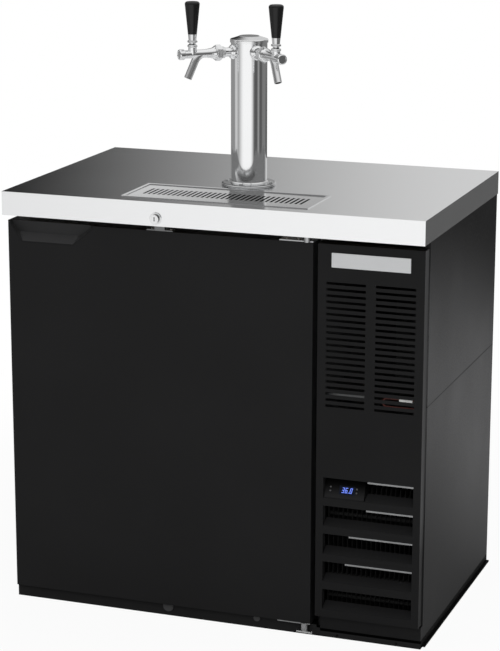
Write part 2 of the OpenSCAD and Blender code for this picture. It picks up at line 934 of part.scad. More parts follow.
module condenser_coil() color("#b87333") {
    fin_pitch = (cond_x1 - cond_x0) / (cond_fins + 1);
    for (i = [1 : cond_fins])
        translate([cond_x0 + i * fin_pitch, 0, 0])
            block([-fin_t / 2, cond_y0, cond_z0], [fin_t / 2, cond_y1, cond_z1]);
    for (x = [cond_x0, cond_x1])
        block([x - cond_plate / 2, cond_y0, z_floor], [x + cond_plate / 2, cond_y1, cond_z1]);
    tube_pitch = cond_h / cond_tube_rows;
    for (i = [0 : cond_tube_rows - 1], s = [1, 3])
        translate([0, cond_y0 + s * cond_d / 4, cond_z0 + (i + 0.5) * tube_pitch])
            rod_x(cond_tube_r, cond_x0 - cond_plate, cond_x1 + cond_plate);
}

module fan_shroud() color("#4a4c4e") {
    ring_r = fan_r + fan_clear;
    difference() {
        union() {
            block(
                [cond_x0 - cond_plate / 2, cond_y1, cond_z0],
                [cond_x1 + cond_plate / 2, cond_y1 + shroud_t, cond_z1]
            );
            translate([x_mc, 0, fan_z]) rod_y(ring_r + shroud_t, cond_y1, cond_y1 + shroud_ring);
        }
        translate([x_mc, 0, fan_z]) rod_y(ring_r, cond_y1 - eps, cond_y1 + shroud_ring + eps);
    }
}

module fan_motor() color("#2f3133") {
    post = motor_r / 2;
    translate([x_mc, 0, fan_z]) difference() {
        union() {
            rod_y(motor_r, motor_y0, motor_y0 + motor_l);
            block([-post, motor_y0 + motor_l / 4, z_floor - fan_z], [post, motor_y0 + motor_l * 3 / 4, 0]);
        }
        rod_y(shaft_r + run_clear, motor_y0 - eps, motor_y0 + motor_l / 2);
    }
}

// Axial fan on a hub and shaft along Y, blowing along +Y
module axial_fan(r, n, hub_r, hub_l, shaft_l) {
    rod_y(hub_r, 0, hub_l);
    rod_y(shaft_r, hub_l / 2, hub_l + shaft_l);
    intersection() {
        rod_y(r, -eps, hub_l + eps);
        for (i = [0 : n - 1])
            rotate([0, i * 360 / n, 0]) translate([0, hub_l / 2, hub_r - blade_t]) rotate([0, 0, blade_pitch])
                block([-r / 3, -blade_t / 2, 0], [r / 3, blade_t / 2, r]);
    }
}

module fan_blade() color("#8d9194") {
    translate([x_mc, fan_y0, fan_z]) axial_fan(fan_r, fan_blades, fan_hub_r, fan_hub_l, motor_l / 2);
}

module evaporator_cover() color("#dfe2e4") {
    difference() {
        block([evap_x0, evap_y0, evap_z0], [x_liner1, evap_y1, evap_z1]);
        block(
            [evap_x0 + sheet_t, evap_y0 + sheet_t, evap_z0 + sheet_t],
            [x_liner1 + eps, evap_y1 - sheet_t, evap_z1 - sheet_t]
        );
        translate([evap_x0, evap_fan_y, evap_fan_z]) rod_x(evap_fan_r + fan_clear, -eps, 2 * sheet_t);
        for (i = [1 : evap_slots])
            translate([evap_x0 + i * evap_d / (evap_slots + 1), 0, evap_z0])
                block(
                    [-evap_slot_w / 2, evap_y0 + 2 * evap_gap, -eps],
                    [evap_slot_w / 2, evap_y1 - 2 * evap_gap, 2 * sheet_t]
                );
    }
}

module evaporator_coil() color("#b9bdc0") {
    x0 = x_liner1 - evap_coil_d;
    z0 = evap_z0 + evap_gap + sheet_t;
    pitch = (evap_l - 2 * evap_gap - 2 * sheet_t) / (evap_fins - 1);
    for (i = [0 : evap_fins - 1])
        translate([0, evap_y0 + evap_gap + sheet_t + i * pitch, 0])
            block([x0, -fin_t / 2, z0], [x_liner1, fin_t / 2, z0 + evap_coil_h]);
    for (k = [0 : 2])
        translate([x0 + evap_coil_d / 2, 0, z0 + (k + 0.5) * evap_coil_h / 3])
            rod_y(cond_tube_r, evap_y0 + evap_gap, evap_y1 - evap_gap);
}

module evaporator_motor() color("#3b3d40") {
    x0 = evap_fan_x + evap_hub_l + 4;
    translate([0, evap_fan_y, evap_fan_z]) difference() {
        union() {
            rod_x(evap_motor_r, x0, x0 + evap_motor_l);
            rod_x(evap_motor_r / 2, x0 + evap_motor_l / 2, x_liner1);
        }
        rod_x(shaft_r + run_clear, x0 - eps, x0 + evap_motor_l / 2);
    }
}

module evaporator_blade() color("#8d9194") {
    translate([evap_fan_x, evap_fan_y, evap_fan_z]) rotate([0, 0, -90])
        axial_fan(evap_fan_r, evap_blades, evap_hub_r, evap_hub_l, evap_motor_l / 2);
}

module service_shelf() color("#9b9fa2") {
    y0 = y_machine + sheet_t + shelf_gap;
    x0 = block_x0 - shelf_tongue;
    x1 = block_x0 + block_w + shelf_tongue;
    block([x_m0, y0, shelf_z - sheet_t], [x_m1, y0 + shelf_deep, shelf_z]);
    block([x_m0, y0, shelf_z - shelf_fall], [shelf_split, y0 + sheet_t, shelf_z + shelf_rise]);
    block([x0, y0, shelf_z - sheet_t], [x1, y0 + sheet_t, block_z]);
    block([x0, y_face + block_front, block_z - sheet_t], [x1, y0 + sheet_t, block_z]);
}

module terminal_block() color("#f0f0ea") {
    y0 = y_face + block_front;
    z1 = block_z + block_h;
    difference() {
        block([block_x0, y0, block_z], [block_x0 + block_w, y0 + block_d, z1]);
        for (i = [0 : 2])
            translate([block_x0 + block_w * (i + 0.5) / 3, y0 + block_d / 2, 0])
                rod_z(block_hole_r, z1 - block_hole_d, z1 + eps);
    }
}

// Quarter bend of the red lead in the X and Z plane, from one angle on
module lead_turn(x, z, a) {
    translate([x, 0, z]) rotate([90, 0, 0]) rotate([0, 0, a])
        rotate_extrude(angle = 90) translate([lead_bend, 0]) circle(lead_r);
}

module red_lead() color("#b03028") {
    z0 = block_z - lead_drop;
    z1 = block_z + block_h - lead_r - sheet_t;
    x0 = block_x0 - lead_run;
    x1 = block_x0 + block_w + lead_out;
    translate([0, y_face + lead_in, 0]) {
        translate([0, 0, z1]) rod_x(lead_r, x0, block_x0);
        translate([0, 0, z1]) rod_x(lead_r, block_x0 + block_w, x1);
        translate([0, 0, z0]) rod_x(lead_r, x0, x1);
        lead_turn(x0, z1 - lead_bend, 90);
        lead_turn(x0, z0 + lead_bend, 180);
        lead_turn(x1, z0 + lead_bend, 270);
        lead_turn(x1, z1 - lead_bend, 0);
        for (x = [x0 - lead_bend, x1 + lead_bend])
            translate([x, 0, 0]) rod_z(lead_r, z0 + lead_bend, z1 - lead_bend);
    }
}

// Hinges and lock

module hinge_brackets() color("#d4d6d8") {
    z_low1 = z_hinge_low - clear;
    z_top0 = z_front1 + plate_t + clear;
    translate([hinge_x, hinge_y, 0]) {
        block([-bracket_half, -knuckle_r, z_slab - bracket_t], [bracket_half, 2 * knuckle_r, z_slab]);
        rod_z(pin_r, z_top0, z_slab - bracket_t + eps);
        rod_z(pin_r, z_bracket - eps, z_low1);
    }
    translate([hinge_x, 0, z_bracket]) {
        block([-bracket_half, hinge_y - knuckle_r, -bracket_t], [bracket_half, y_kick, 0]);
        block([-bracket_half, y_kick - bracket_t, -3 * bracket_t], [bracket_half, y_kick, 0]);
    }
}

module hinge_plate(z_plate, z_knuckle0, z_knuckle1) {
    difference() {
        union() {
            translate([x_door1, tab_y, z_plate]) block([-hinge_w, 0, 0], [0, hinge_d, plate_t]);
            translate([hinge_x, hinge_y, 0]) rod_z(knuckle_r, z_knuckle0, z_knuckle1);
        }
        translate([hinge_x, hinge_y, 0]) rod_z(pin_r + run_clear, z_knuckle0 - eps, z_knuckle1 + eps);
    }
}

module door_hinge_plates() color("#c9cbcd") {
    hinge_plate(z_front1, z_front1, z_slab - bracket_t - clear);
    hinge_plate(z_hinge_low, z_bracket + clear, door_z);
}

module strike_plate() color("#c2c4c6") {
    translate([-lock_x, tab_y, z_front1]) {
        block([-strike_w / 2, 0, 0], [strike_w / 2, strike_d, plate_t]);
        block([-tab_w / 2, 0, 0], [tab_w / 2, tab_t, top_gap - plate_t]);
    }
}

module lock_barrel() color("#dcdee0") {
    translate([-lock_x, 0, lock_z]) difference() {
        union() {
            rod_y(lock_ring_r, y_front - ring_t, y_front);
            rod_y(lock_r, y_front - eps, barrel_y1);
        }
        rod_y(lock_plug_r + run_clear, y_front - ring_t - eps, barrel_y1 + eps);
    }
}

module lock_plug() color("#e8e9ea") {
    y0 = y_front - lock_proud;
    translate([-lock_x, 0, lock_z]) difference() {
        union() {
            rod_y(plug_head_r, y0, y0 + plug_head_t);
            rod_y(lock_plug_r, y0, cam_y + cam_t);
            block([0, cam_y, -cam_w / 2], [cam_len, cam_y + cam_t, cam_w / 2]);
            rod_y(plug_head_r, cam_y, cam_y + cam_t);
        }
        block([-key_w / 2, y0 - eps, -key_h / 2], [key_w / 2, y0 + key_d, key_h / 2]);
    }
}

// Door

// Front outline of the handle pocket, grown by a margin and carried up past the door's top
function pocket_outline(grow, rise) = [
    [pocket_x0 - grow, z_front1 + rise],
    [pocket_x0 - grow, z_front1 - pocket_edge],
    [pocket_x0 + pocket_slant_l - grow / 2, z_front1 - pocket_h - grow],
    [pocket_x0 + pocket_w - pocket_slant_r + grow / 2, z_front1 - pocket_h - grow],
    [pocket_x0 + pocket_w + grow, z_front1 - pocket_edge],
    [pocket_x0 + pocket_w + grow, z_front1 + rise]
];

// The same outline at the back of the pocket, drawn in on the right
function pocket_back() = [
    for (p = pocket_outline(0, 2 * eps)) [p[0] > pocket_x0 + pocket_w / 2 ? p[0] - pocket_draft : p[0], p[1]]
];

module pocket_space() {
    intersection() {
        hull() {
            solid_xz(y_face - eps, y_face) polygon(pocket_outline(0, 2 * eps));
            solid_xz(y_face + pocket_d, y_face + pocket_d + eps) polygon(pocket_back());
        }
        solid_yz(x_door0, x_door1) polygon([
            [y_face - 2 * eps, z_front1 + 3 * eps],
            [y_face - 2 * eps, z_front1 - pocket_h],
            [y_face, z_front1 - pocket_h],
            [y_face + pocket_d, z_front1 - pocket_break],
            [y_face + pocket_mouth, z_front1],
            [y_face + pocket_mouth, z_front1 + 3 * eps]
        ]);
    }
}

module cup_block(grow) {
    solid_xz(y_face - grow, y_face + cup_d) polygon(pocket_outline(cup_wall, grow));
}

module handle_cup() color("#262626") {
    difference() {
        cup_block(0);
        pocket_space();
    }
}

module door_skin() color("#212121") {
    difference() {
        block([x_door0, y_face, door_z], [x_door1, y_door, z_front1]);
        block(
            [x_door0 + sheet_t, y_face + sheet_t, door_z + sheet_t],
            [x_door1 - sheet_t, y_door + eps, z_front1 - sheet_t]
        );
        cup_block(eps);
    }
}

module door_insulation() color("#e8d9a8") {
    difference() {
        block(
            [x_door0 + sheet_t, y_face + sheet_t, door_z + sheet_t],
            [x_door1 - sheet_t, y_door - sheet_t, z_front1 - sheet_t]
        );
        cup_block(eps);
    }
}

module door_liner() color("#cdd0d2") {
    block(
        [x_door0 + sheet_t, y_door - sheet_t, door_z + sheet_t],
        [x_door1 - sheet_t, y_door, z_front1 - sheet_t]
    );
    block(
        [x_liner0 + field_margin, y_door - sheet_t, z_liner0 + field_margin],
        [x_liner1 - field_margin, y_door + field_t, z_liner1 - field_margin]
    );
}

// Block over the whole gasket, grown past the liner's mouth by a margin
module gasket_frame(grow, y0, y1) {
    block([x_liner0 - grow, y0, z_liner0 - grow], [x_liner1 + grow, y1, z_liner1 + grow]);
}

module door_gasket() color("#303030") {
    out = gasket_in + gasket_w;
    y0 = y_door + gasket_t * 0.3;
    y1 = y_door + gasket_t * 0.6;
    difference() {
        gasket_frame(out, y_door, y_seal - clear);
        gasket_frame(gasket_in, y_door - eps, y_seal + eps);
        difference() {
            gasket_frame(out + eps, y0, y1);
            gasket_frame(out - gasket_fold, y0 - eps, y1 + eps);
        }
        gasket_frame(gasket_in + gasket_fold, y0, y1);
    }
}

// Tower

// Places a tap along its own axis: X runs outward from the tower, Z up, from the tower's axis at tap height
module tap_frame(side) {
    translate([0, tower_y, z_tap]) rotate([0, 0, -90 + side * tap_angle]) children();
}

module both_taps() {
    for (side = [-1, 1]) tap_frame(side) children();
}

module tower_column() color("#d5d8da") {
    difference() {
        translate([0, tower_y, top_h]) rotate_extrude() polygon(concat(
            [[tower_r - tower_wall, 0], [flange_d / 2 - flange_edge, 0]],
            arc(flange_d / 2 - flange_edge, flange_edge, flange_edge, -90, 90),
            [
                [flange_d / 2 - flange_edge, flange_t],
                [tower_r + flange_edge, flange_t],
                [tower_r, flange_t + flange_edge],
                [tower_r, tower_h],
                [tower_r - tower_wall, tower_h]
            ]
        ));
        both_taps() rod_x(shank_r + run_clear, tower_r / 2, tower_r + 2 * eps);
    }
}

module tower_cap() color("#cdd0d3") {
    rim_r = tower_r + cap_rim;
    seat_r = tower_r - tower_wall - clear / 2;
    bore_r = seat_r - cap_seat_w;
    translate([0, tower_y, z_tower]) rotate_extrude() polygon(concat(
        [[0, 0], [bore_r, 0], [bore_r, -cap_seat_h], [seat_r, -cap_seat_h], [seat_r, 0], [rim_r, 0]],
        arc(rim_r - cap_round, cap_skirt - cap_round, cap_round, 0, 60),
        [[cap_top_r, cap_h - cap_edge], [cap_top_r - cap_edge, cap_h], [0, cap_h]]
    ));
}

// Taps

module tap_escutcheons() color("#cfd2d4") {
    bore = shank_r + run_clear;
    x0 = tower_r - esc_round;
    x1 = tower_r + esc_t;
    both_taps() difference() {
        rotate([0, 90, 0]) rotate_extrude() polygon(concat(
            [[bore, x0], [esc_r, x0]],
            arc(esc_r - esc_round, tower_r, esc_round, 0, 60),
            [[bore + sheet_t, x1], [bore, x1]]
        ));
        rod_z(tower_r + run_clear, -2 * esc_r, 2 * esc_r);
    }
}

// Hexagonal bar along X
module hex_x(r, x0, x1) {
    translate([x0, 0, 0]) rotate([0, 90, 0]) cylinder(r = r, h = x1 - x0, $fn = 6);
}

module tap_nuts() color("#c6c9cb") {
    both_taps() {
        difference() {
            union() {
                intersection() {
                    hex_x(nut_r, nut_hex_x, nut_x1);
                    rotate([0, 90, 0]) rotate_extrude() polygon([
                        [0, nut_hex_x],
                        [nut_r - nut_bevel, nut_hex_x],
                        [nut_r, nut_hex_x + nut_bevel],
                        [nut_r, nut_x1 - nut_bevel],
                        [nut_r - nut_bevel, nut_x1],
                        [0, nut_x1]
                    ]);
                }
                translate([nut_x0, 0, 0]) rotate([0, 90, 0])
                    cylinder(r1 = nut_cone_r, r2 = nut_cone_r + nut_bevel, h = nut_hex_x - nut_x0);
            }
            rod_x(tail_r + run_clear, tail_x - collar_t, nut_x1 + eps);
            rod_x(shank_r + run_clear, nut_x0 - eps, tail_x);
        }
        difference() {
            hex_x(lock_nut_r, lock_nut_x, lock_nut_x + lock_nut_t);
            rod_x(shank_r + run_clear, lock_nut_x - eps, lock_nut_x + lock_nut_t + eps);
        }
    }
}

module tap_shank(side) color("#c3c6c8") {
    tap_frame(side) difference() {
        union() {
            rod_x(shank_r, shank_in, tail_x);
            rod_x(tail_r, tail_x - collar_t, tail_x);
        }
        rod_x(shank_bore_r, shank_in - eps, tail_x + eps);
        rod_x(washer_r + 2 * clear, tail_x - shank_cup, tail_x + eps);
    }
}

// Path of the spout: a bend down out of the body, then a straight run
module spout_tube(r, past) {
    translate([spout_x, 0, -spout_bend]) rotate([90, 0, 0]) rotate([0, 0, spout_lean]) {
        rotate_extrude(angle = 90 - spout_lean) translate([spout_bend, 0]) circle(r);
        translate([spout_bend, 0, 0]) rotate([90, 0, 0]) linear_extrude(spout_l + past) circle(r);
    }
}

module tap_body(side) color("#d2d5d7") {
    z_seat = pivot_z - bonnet_low;
    tap_frame(side) difference() {
        union() {
            rotate([0, 90, 0]) rotate_extrude() polygon(concat(
                [[0, tail_x], [tail_r, tail_x], [tail_r, nut_x1], [body_flange_r, nut_x1]],
                blend(body_flange_r, tap_rear_r, nut_x1 + body_flange_t, nut_x1 + flare_l),
                [[tap_rear_r, tap_reach - nose_l - body_flange_t], [tap_front_r, tap_reach - nose_l]],
                arc(tap_front_r - nose_r, tap_reach - nose_r, nose_r, 0, 90),
                [[0, tap_reach]]
            ));
            translate([lever_x, 0, 0]) rod_z(boss_r, 0, z_seat);
            spout_tube(spout_r, 0);
        }
        rod_x(tap_front_r - nose_r, tap_reach - nose_dish, tap_reach + eps);
        rod_x(washer_r + 2 * clear, tail_x - eps, seat_x);
        rod_x(plunger_r, seat_x - eps, seat_x + seat_t + eps);
        rod_x(chamber_r, seat_x + seat_t, chamber_x1);
        rod_x(plunger_r + run_clear, chamber_x1 - eps, guide_x1);
        spout_tube(spout_bore_r, eps);
        translate([lever_x, 0, 0]) rod_z(well_r, 0, pivot_z + eps);
        translate([lever_x, 0, 0]) rod_z(bonnet_neck_r + clear, z_seat, pivot_z + bonnet_r);
    }
}

module tap_bonnet(side) color("#d8dadc") {
    slot_half = lever_stem_r + clear;
    slot_foot = slot_half / cos(slot_tilt);
    slot_head = slot_foot + 2 * bonnet_r * tan(slot_tilt);
    tap_frame(side) translate([lever_x, 0, pivot_z]) difference() {
        rotate_extrude() polygon(concat(
            [[0, -bonnet_low], [bonnet_neck_r, -bonnet_low]],
            arc(bonnet_r - bonnet_round, bonnet_rise, bonnet_round, -70, 80),
            arc(0, 0, dome_r, 53, 90)
        ));
        sphere(ball_r + clear);
        rod_z(ball_r + clear, -bonnet_r, 0);
        rod_z(slot_half, 0, 2 * bonnet_r);
        solid_xz(-slot_half, slot_half)
            polygon([[0, 0], [slot_foot, 0], [slot_head, 2 * bonnet_r], [0, 2 * bonnet_r]]);
    }
}

module tap_lever(side) color("#dadcde") {
    tap_frame(side) translate([lever_x, 0, pivot_z]) {
        sphere(ball_r);
        translate([0, 0, -lever_arm]) sphere(lever_tip_r);
        rod_z(lever_arm_r, -lever_arm, 0);
        rod_z(lever_stem_r, 0, collar_z + collar_h);
        rotate_extrude() polygon(concat(
            arc(0, 0, hub_cup_r, 90, acos(hub_r / hub_cup_r)),
            [[hub_r, collar_z]],
            arc(collar_r - collar_h / 2, collar_z + collar_h / 2, collar_h / 2, -90, 90),
            [[ferrule_low_r, collar_z + collar_h], [ferrule_top_r, handle_z], [0, handle_z]]
        ));
        rod_z(stud_r, handle_z - eps, handle_z + stud_l);
    }
}

module tap_handle(side) color("#1b1b1b") {
    crown = handle_top_r / 3;
    tap_frame(side) translate([lever_x, 0, pivot_z + handle_z]) difference() {
        rotate_extrude() polygon(concat(
            [[0, 0], [handle_low_r, 0], [handle_top_r, handle_l - crown]],
            arc(handle_top_r - crown, handle_l - crown, crown, 0, 90),
            [[0, handle_l]]
        ));
        rod_z(stud_r + run_clear, -eps, stud_l + clear);
    }
}

module tap_plunger(side) color("#b9a26a") {
    x0 = seat_x - clear - washer_t;
    tap_frame(side) difference() {
        union() {
            rod_x(washer_r, x0, x0 + washer_t);
            rod_x(stem_r, x0, chamber_x1);
            rod_x(plunger_r, chamber_x1 - eps, plunger_x1);
        }
        translate([lever_x, 0, 0]) {
            block([-slot_low, -2 * plunger_r, -slot_deep], [slot_low, 2 * plunger_r, slot_step + eps]);
            block([-slot_high, -2 * plunger_r, slot_step], [slot_high, 2 * plunger_r, 2 * plunger_r]);
        }
    }
}

base_frame();
rail_plugs();
kick_plate();
cabinet_shell();
insulation();
cabinet_liner();
counter_top();
counter_core();
drip_tray();
drain_spud();
drip_grate();
grille_panel();
louvre_vanes();
louvre_rails();
badge_plate();
case_screws();
controller_housing();
controller_display();
control_button(0);  // button_1
control_button(1);  // button_2
control_button(2);  // button_3
control_button(3);  // button_4
compressor();
condenser_coil();
fan_shroud();
fan_motor();
fan_blade();
evaporator_coil();
evaporator_cover();
evaporator_motor();
evaporator_blade();
service_shelf();
terminal_block();
red_lead();
hinge_brackets();
lock_barrel();
lock_plug();
door_skin();
door_insulation();
door_liner();
door_gasket();
door_hinge_plates();
strike_plate();
handle_cup();
tower_column();
tower_cap();
tap_escutcheons();
tap_nuts();
tap_shank(-1);  // tap_shank_left
tap_body(-1);  // tap_body_left
tap_bonnet(-1);  // tap_bonnet_left
tap_lever(-1);  // tap_lever_left
tap_handle(-1);  // tap_handle_left
tap_plunger(-1);  // tap_plunger_left
tap_shank(1);  // tap_shank_right
tap_body(1);  // tap_body_right
tap_bonnet(1);  // tap_bonnet_right
tap_lever(1);  // tap_lever_right
tap_handle(1);  // tap_handle_right
tap_plunger(1);  // tap_plunger_right
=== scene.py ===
import math
from collections import namedtuple

import bmesh
import bpy
from bpy.props import FloatProperty, FloatVectorProperty, PointerProperty, StringProperty
from mathutils import Matrix, Quaternion, Vector


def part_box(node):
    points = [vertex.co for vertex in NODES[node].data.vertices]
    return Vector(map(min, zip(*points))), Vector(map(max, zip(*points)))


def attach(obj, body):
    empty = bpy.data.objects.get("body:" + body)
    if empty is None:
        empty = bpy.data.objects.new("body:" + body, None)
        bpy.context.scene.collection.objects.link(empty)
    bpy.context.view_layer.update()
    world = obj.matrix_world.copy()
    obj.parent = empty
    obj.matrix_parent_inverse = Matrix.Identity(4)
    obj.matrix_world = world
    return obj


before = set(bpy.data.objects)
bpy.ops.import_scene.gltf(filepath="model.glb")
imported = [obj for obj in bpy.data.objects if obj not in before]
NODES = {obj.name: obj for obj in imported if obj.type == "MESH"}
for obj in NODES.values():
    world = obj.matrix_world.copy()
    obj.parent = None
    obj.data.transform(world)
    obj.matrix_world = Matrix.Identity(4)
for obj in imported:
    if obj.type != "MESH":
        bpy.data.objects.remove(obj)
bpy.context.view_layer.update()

bl_info = {
    "name": "Draft beer cooler finish",
    "version": (1, 0, 0),
    "blender": (4, 5, 0),
    "location": "3D View > Sidebar > Cooler",
    "description": "Finishes, small fittings and studio stage for a draft beer cooler",
    "category": "Object",
}

X, Y, Z = 0, 1, 2

# Camera of the main view, in metres and degrees
CAMERA_PLACE = (1.5703, -4.3730, 1.7492)
CAMERA_AROUND = 19.90
CAMERA_ABOVE = 14.05
CAMERA_ROLL = 0.096
SENSOR_WIDTH = 36.0
CLIP_END = 60.0

# Stage
FLOOR_DROP = 0.0005
WHITE = (1, 1, 1, 1)
FLOOR_DARK = (0.6, 0.6, 0.6, 1)
FLOOR_PALE = (0.64, 0.64, 0.64, 1)

# Colours of the counter and the cabinet
TRAY_SHADE = (0.06, 0.06, 0.061)
BADGE_STEEL = (0.66, 0.668, 0.675)
BOARD_BROWN = (0.5, 0.38, 0.22)
FOLD_PAINTED_HIGHLIGHT = (0.045, 0.045, 0.046)
BASE_BLACK = (0.0148, 0.0148, 0.015)
BASE_PAINTED_SHADE = (0.0008, 0.0008, 0.0008)
VANE_BLACK = (0.0125, 0.0125, 0.0128)
RAIL_ZINC = (0.42, 0.425, 0.43)
SHELF_ZINC = (0.25, 0.253, 0.256)
FOAM_CREAM = (0.8, 0.7, 0.45)
PLUG_GREY = (0.035, 0.035, 0.036)
LOW_SCREW_BLACK = (0.02, 0.02, 0.02)

# Colours of the door and its lock
DOOR_TOP_PAINTED_SHADOW = (0.0006, 0.0006, 0.0006)
CUP_PAINTED_LIGHT = (0.026, 0.026, 0.0266)
CUP_FOOT_PAINTED_LIGHT = (0.036, 0.036, 0.037)
SEAL_BLACK = (0.03, 0.03, 0.031)
HINGE_ZINC = (0.5, 0.505, 0.51)
STRIKE_ZINC = (0.22, 0.223, 0.226)
KEYWAY_PAINTED_SHADE = (0.03, 0.03, 0.03)

# Colours of the tower and its taps
FLANGE_PAINTED_REFLECTION = (0.55, 0.555, 0.56)
CROWN_PAINTED_REFLECTION = (0.3, 0.304, 0.308)
LEVER_STEEL = (0.76, 0.765, 0.77)
VALVE_BRASS = (0.72, 0.52, 0.22)

# Colours of the controller
HOUSING_BLACK = (0.017, 0.017, 0.0175)
HOUSING_SHADE = (0.001, 0.001, 0.001)
WINDOW_BLACK = (0.006, 0.008, 0.016)
KEY_GREY = (0.065, 0.065, 0.067)

# Colours of the cooling machine and the wiring
LACQUER_BLACK = (0.012, 0.012, 0.012)
COIL_BLACK = (0.015, 0.015, 0.015)
BLADE_BLACK = (0.02, 0.02, 0.02)
BLOCK_WHITE = (0.92, 0.92, 0.9)
LEAD_RED = (0.1, 0.026, 0.021)

# A colour that takes over along an axis, from none at start to all of it at end
Change = namedtuple("Change", "axis start end colour")


# Shader helpers


class Value:
    """A shader socket that takes part in Python arithmetic."""

    def __init__(self, finish, socket):
        self.finish = finish
        self.socket = socket

    def _math(self, operation, *terms):
        made = self.finish.node("ShaderNodeMath", {"operation": operation}, dict(enumerate(terms)))
        return Value(self.finish, made.outputs[0])

    def __add__(self, other):
        return self._math("ADD", self, other)

    def __radd__(self, other):
        return self._math("ADD", other, self)

    def __sub__(self, other):
        return self._math("SUBTRACT", self, other)

    def __rsub__(self, other):
        return self._math("SUBTRACT", other, self)

    def __mul__(self, other):
        return self._math("MULTIPLY", self, other)

    def __rmul__(self, other):
        return self._math("MULTIPLY", other, self)

    def __abs__(self):
        return self._math("ABSOLUTE", self)


class Finish:
    """A node tree of a material or the world, with one method that adds nodes."""

    def __init__(self, tree):
        self.tree = tree
        tree.nodes.clear()

    def node(self, kind, settings=None, inputs=None):
        made = self.tree.nodes.new(kind)
        for name, value in (settings or {}).items():
            setattr(made, name, value)
        for name, value in (inputs or {}).items():
            socket = made.inputs[name]
            if isinstance(value, Value):
                self.tree.links.new(value.socket, socket)
            else:
                socket.default_value = value
        return made

    def value(self, kind, settings=None, inputs=None, output=0):
        return Value(self, self.node(kind, settings, inputs).outputs[output])

    def place(self, stretch=(1, 1, 1)):
        coords = self.value("ShaderNodeTexCoord", output="Object")
        return self.value("ShaderNodeMapping", None, {"Vector": coords, "Scale": stretch})

    def axis(self, index):
        return self.value("ShaderNodeSeparateXYZ", None, {0: self.place()}, index)

    def noise(self, size, detail=3, stretch=(1, 1, 1), rough=0.5):
        inputs = {"Vector": self.place(stretch), "Scale": 1 / size, "Detail": detail, "Roughness": rough}
        return self.value("ShaderNodeTexNoise", None, inputs)

    def cells(self, size, feature="F1", output="Distance"):
        inputs = {"Vector": self.place(), "Scale": 1 / size}
        return self.value("ShaderNodeTexVoronoi", {"feature": feature}, inputs, output)

    def spread(self, value, low, high, to_low=0.0, to_high=1.0):
        ends = {"From Min": low, "From Max": high, "To Min": to_low, "To Max": to_high}
        smooth = {"interpolation_type": "SMOOTHSTEP"}
        return self.value("ShaderNodeMapRange", smooth, {"Value": value, **ends})

    def blend(self, mask, one, other):
        return self.value("ShaderNodeMix", {"data_type": "RGBA"}, {0: mask, 6: one, 7: other}, 2)

    def bump(self, height, strength, depth):
        inputs = {"Height": height, "Strength": strength, "Distance": depth}
        return self.value("ShaderNodeBump", None, inputs)

    def surface(self, inputs):
        shader = self.node("ShaderNodeBsdfPrincipled", None, inputs)
        out = self.node("ShaderNodeOutputMaterial")
        self.tree.links.new(shader.outputs[0], out.inputs[0])


def new_finish(name):
    material = bpy.data.materials.new(name)
    material.use_nodes = True
    return material, Finish(material.node_tree)


def rgba(colour, gain=1.0):
    return (colour[0] * gain, colour[1] * gain, colour[2] * gain, 1.0)


def change_along(f, base, changes):
    """Base colour that turns into another past a place on an axis, once for each change."""
    for change in changes:
        mask = f.spread(f.axis(change.axis), change.start, change.end)
        base = f.blend(mask, base, rgba(change.colour))
    return base


# Finishes


def brushed_steel(name, colour, rough, sag=0.0, middle=0.0, changes=()):
    """Satin steel with scratches along X, faint smears and, on thin sheet, a slight sag about a middle."""
    material, f = new_finish(name)
    scratch = f.noise(size=0.02, detail=4, stretch=(1, 60, 60), rough=0.6)
    smear = f.noise(size=0.16, detail=3)
    height = scratch * 0.00001
    if sag:
        across = f.axis(X) - middle
        height = height + across * across * sag
    tone = f.blend(scratch, rgba(colour, 0.94), rgba(colour, 1.04))
    f.surface({
        "Base Color": change_along(f, tone, changes),
        "Metallic": 1.0,
        "Roughness": rough * (0.72 + 0.36 * scratch + 0.2 * smear),
        "Normal": f.bump(height, strength=1.0, depth=1.0),
    })
    return material


def polished_plating(name, colour, rough, changes=()):
    """Bright plating with a trace of polishing haze."""
    material, f = new_finish(name)
    haze = f.noise(size=0.012, detail=4)
    smear = f.noise(size=0.06, detail=2)
    tone = f.blend(smear, rgba(colour, 0.95), rgba(colour))
    f.surface({
        "Base Color": change_along(f, tone, changes),
        "Metallic": 1.0,
        "Roughness": rough * (0.6 + 0.5 * haze + 0.4 * smear),
        "Normal": f.bump(haze, strength=0.015, depth=0.0002),
    })
    return material


def powder_coat(name, colour, rough, specular, grain=0.0011, depth=0.00012, changes=()):
    """Matt powder coat with orange-peel grain and faint dust."""
    material, f = new_finish(name)
    peel = f.noise(size=grain, detail=2)
    dust = f.noise(size=0.22, detail=4)
    tone = f.blend(f.spread(dust, 0.35, 0.75), rgba(colour), rgba(colour, 1.18))
    f.surface({
        "Base Color": change_along(f, tone, changes),
        "Roughness": rough * (0.86 + 0.16 * dust + 0.12 * peel),
        "Specular IOR Level": specular,
        "Normal": f.bump(peel, strength=0.3, depth=depth),
    })
    return material


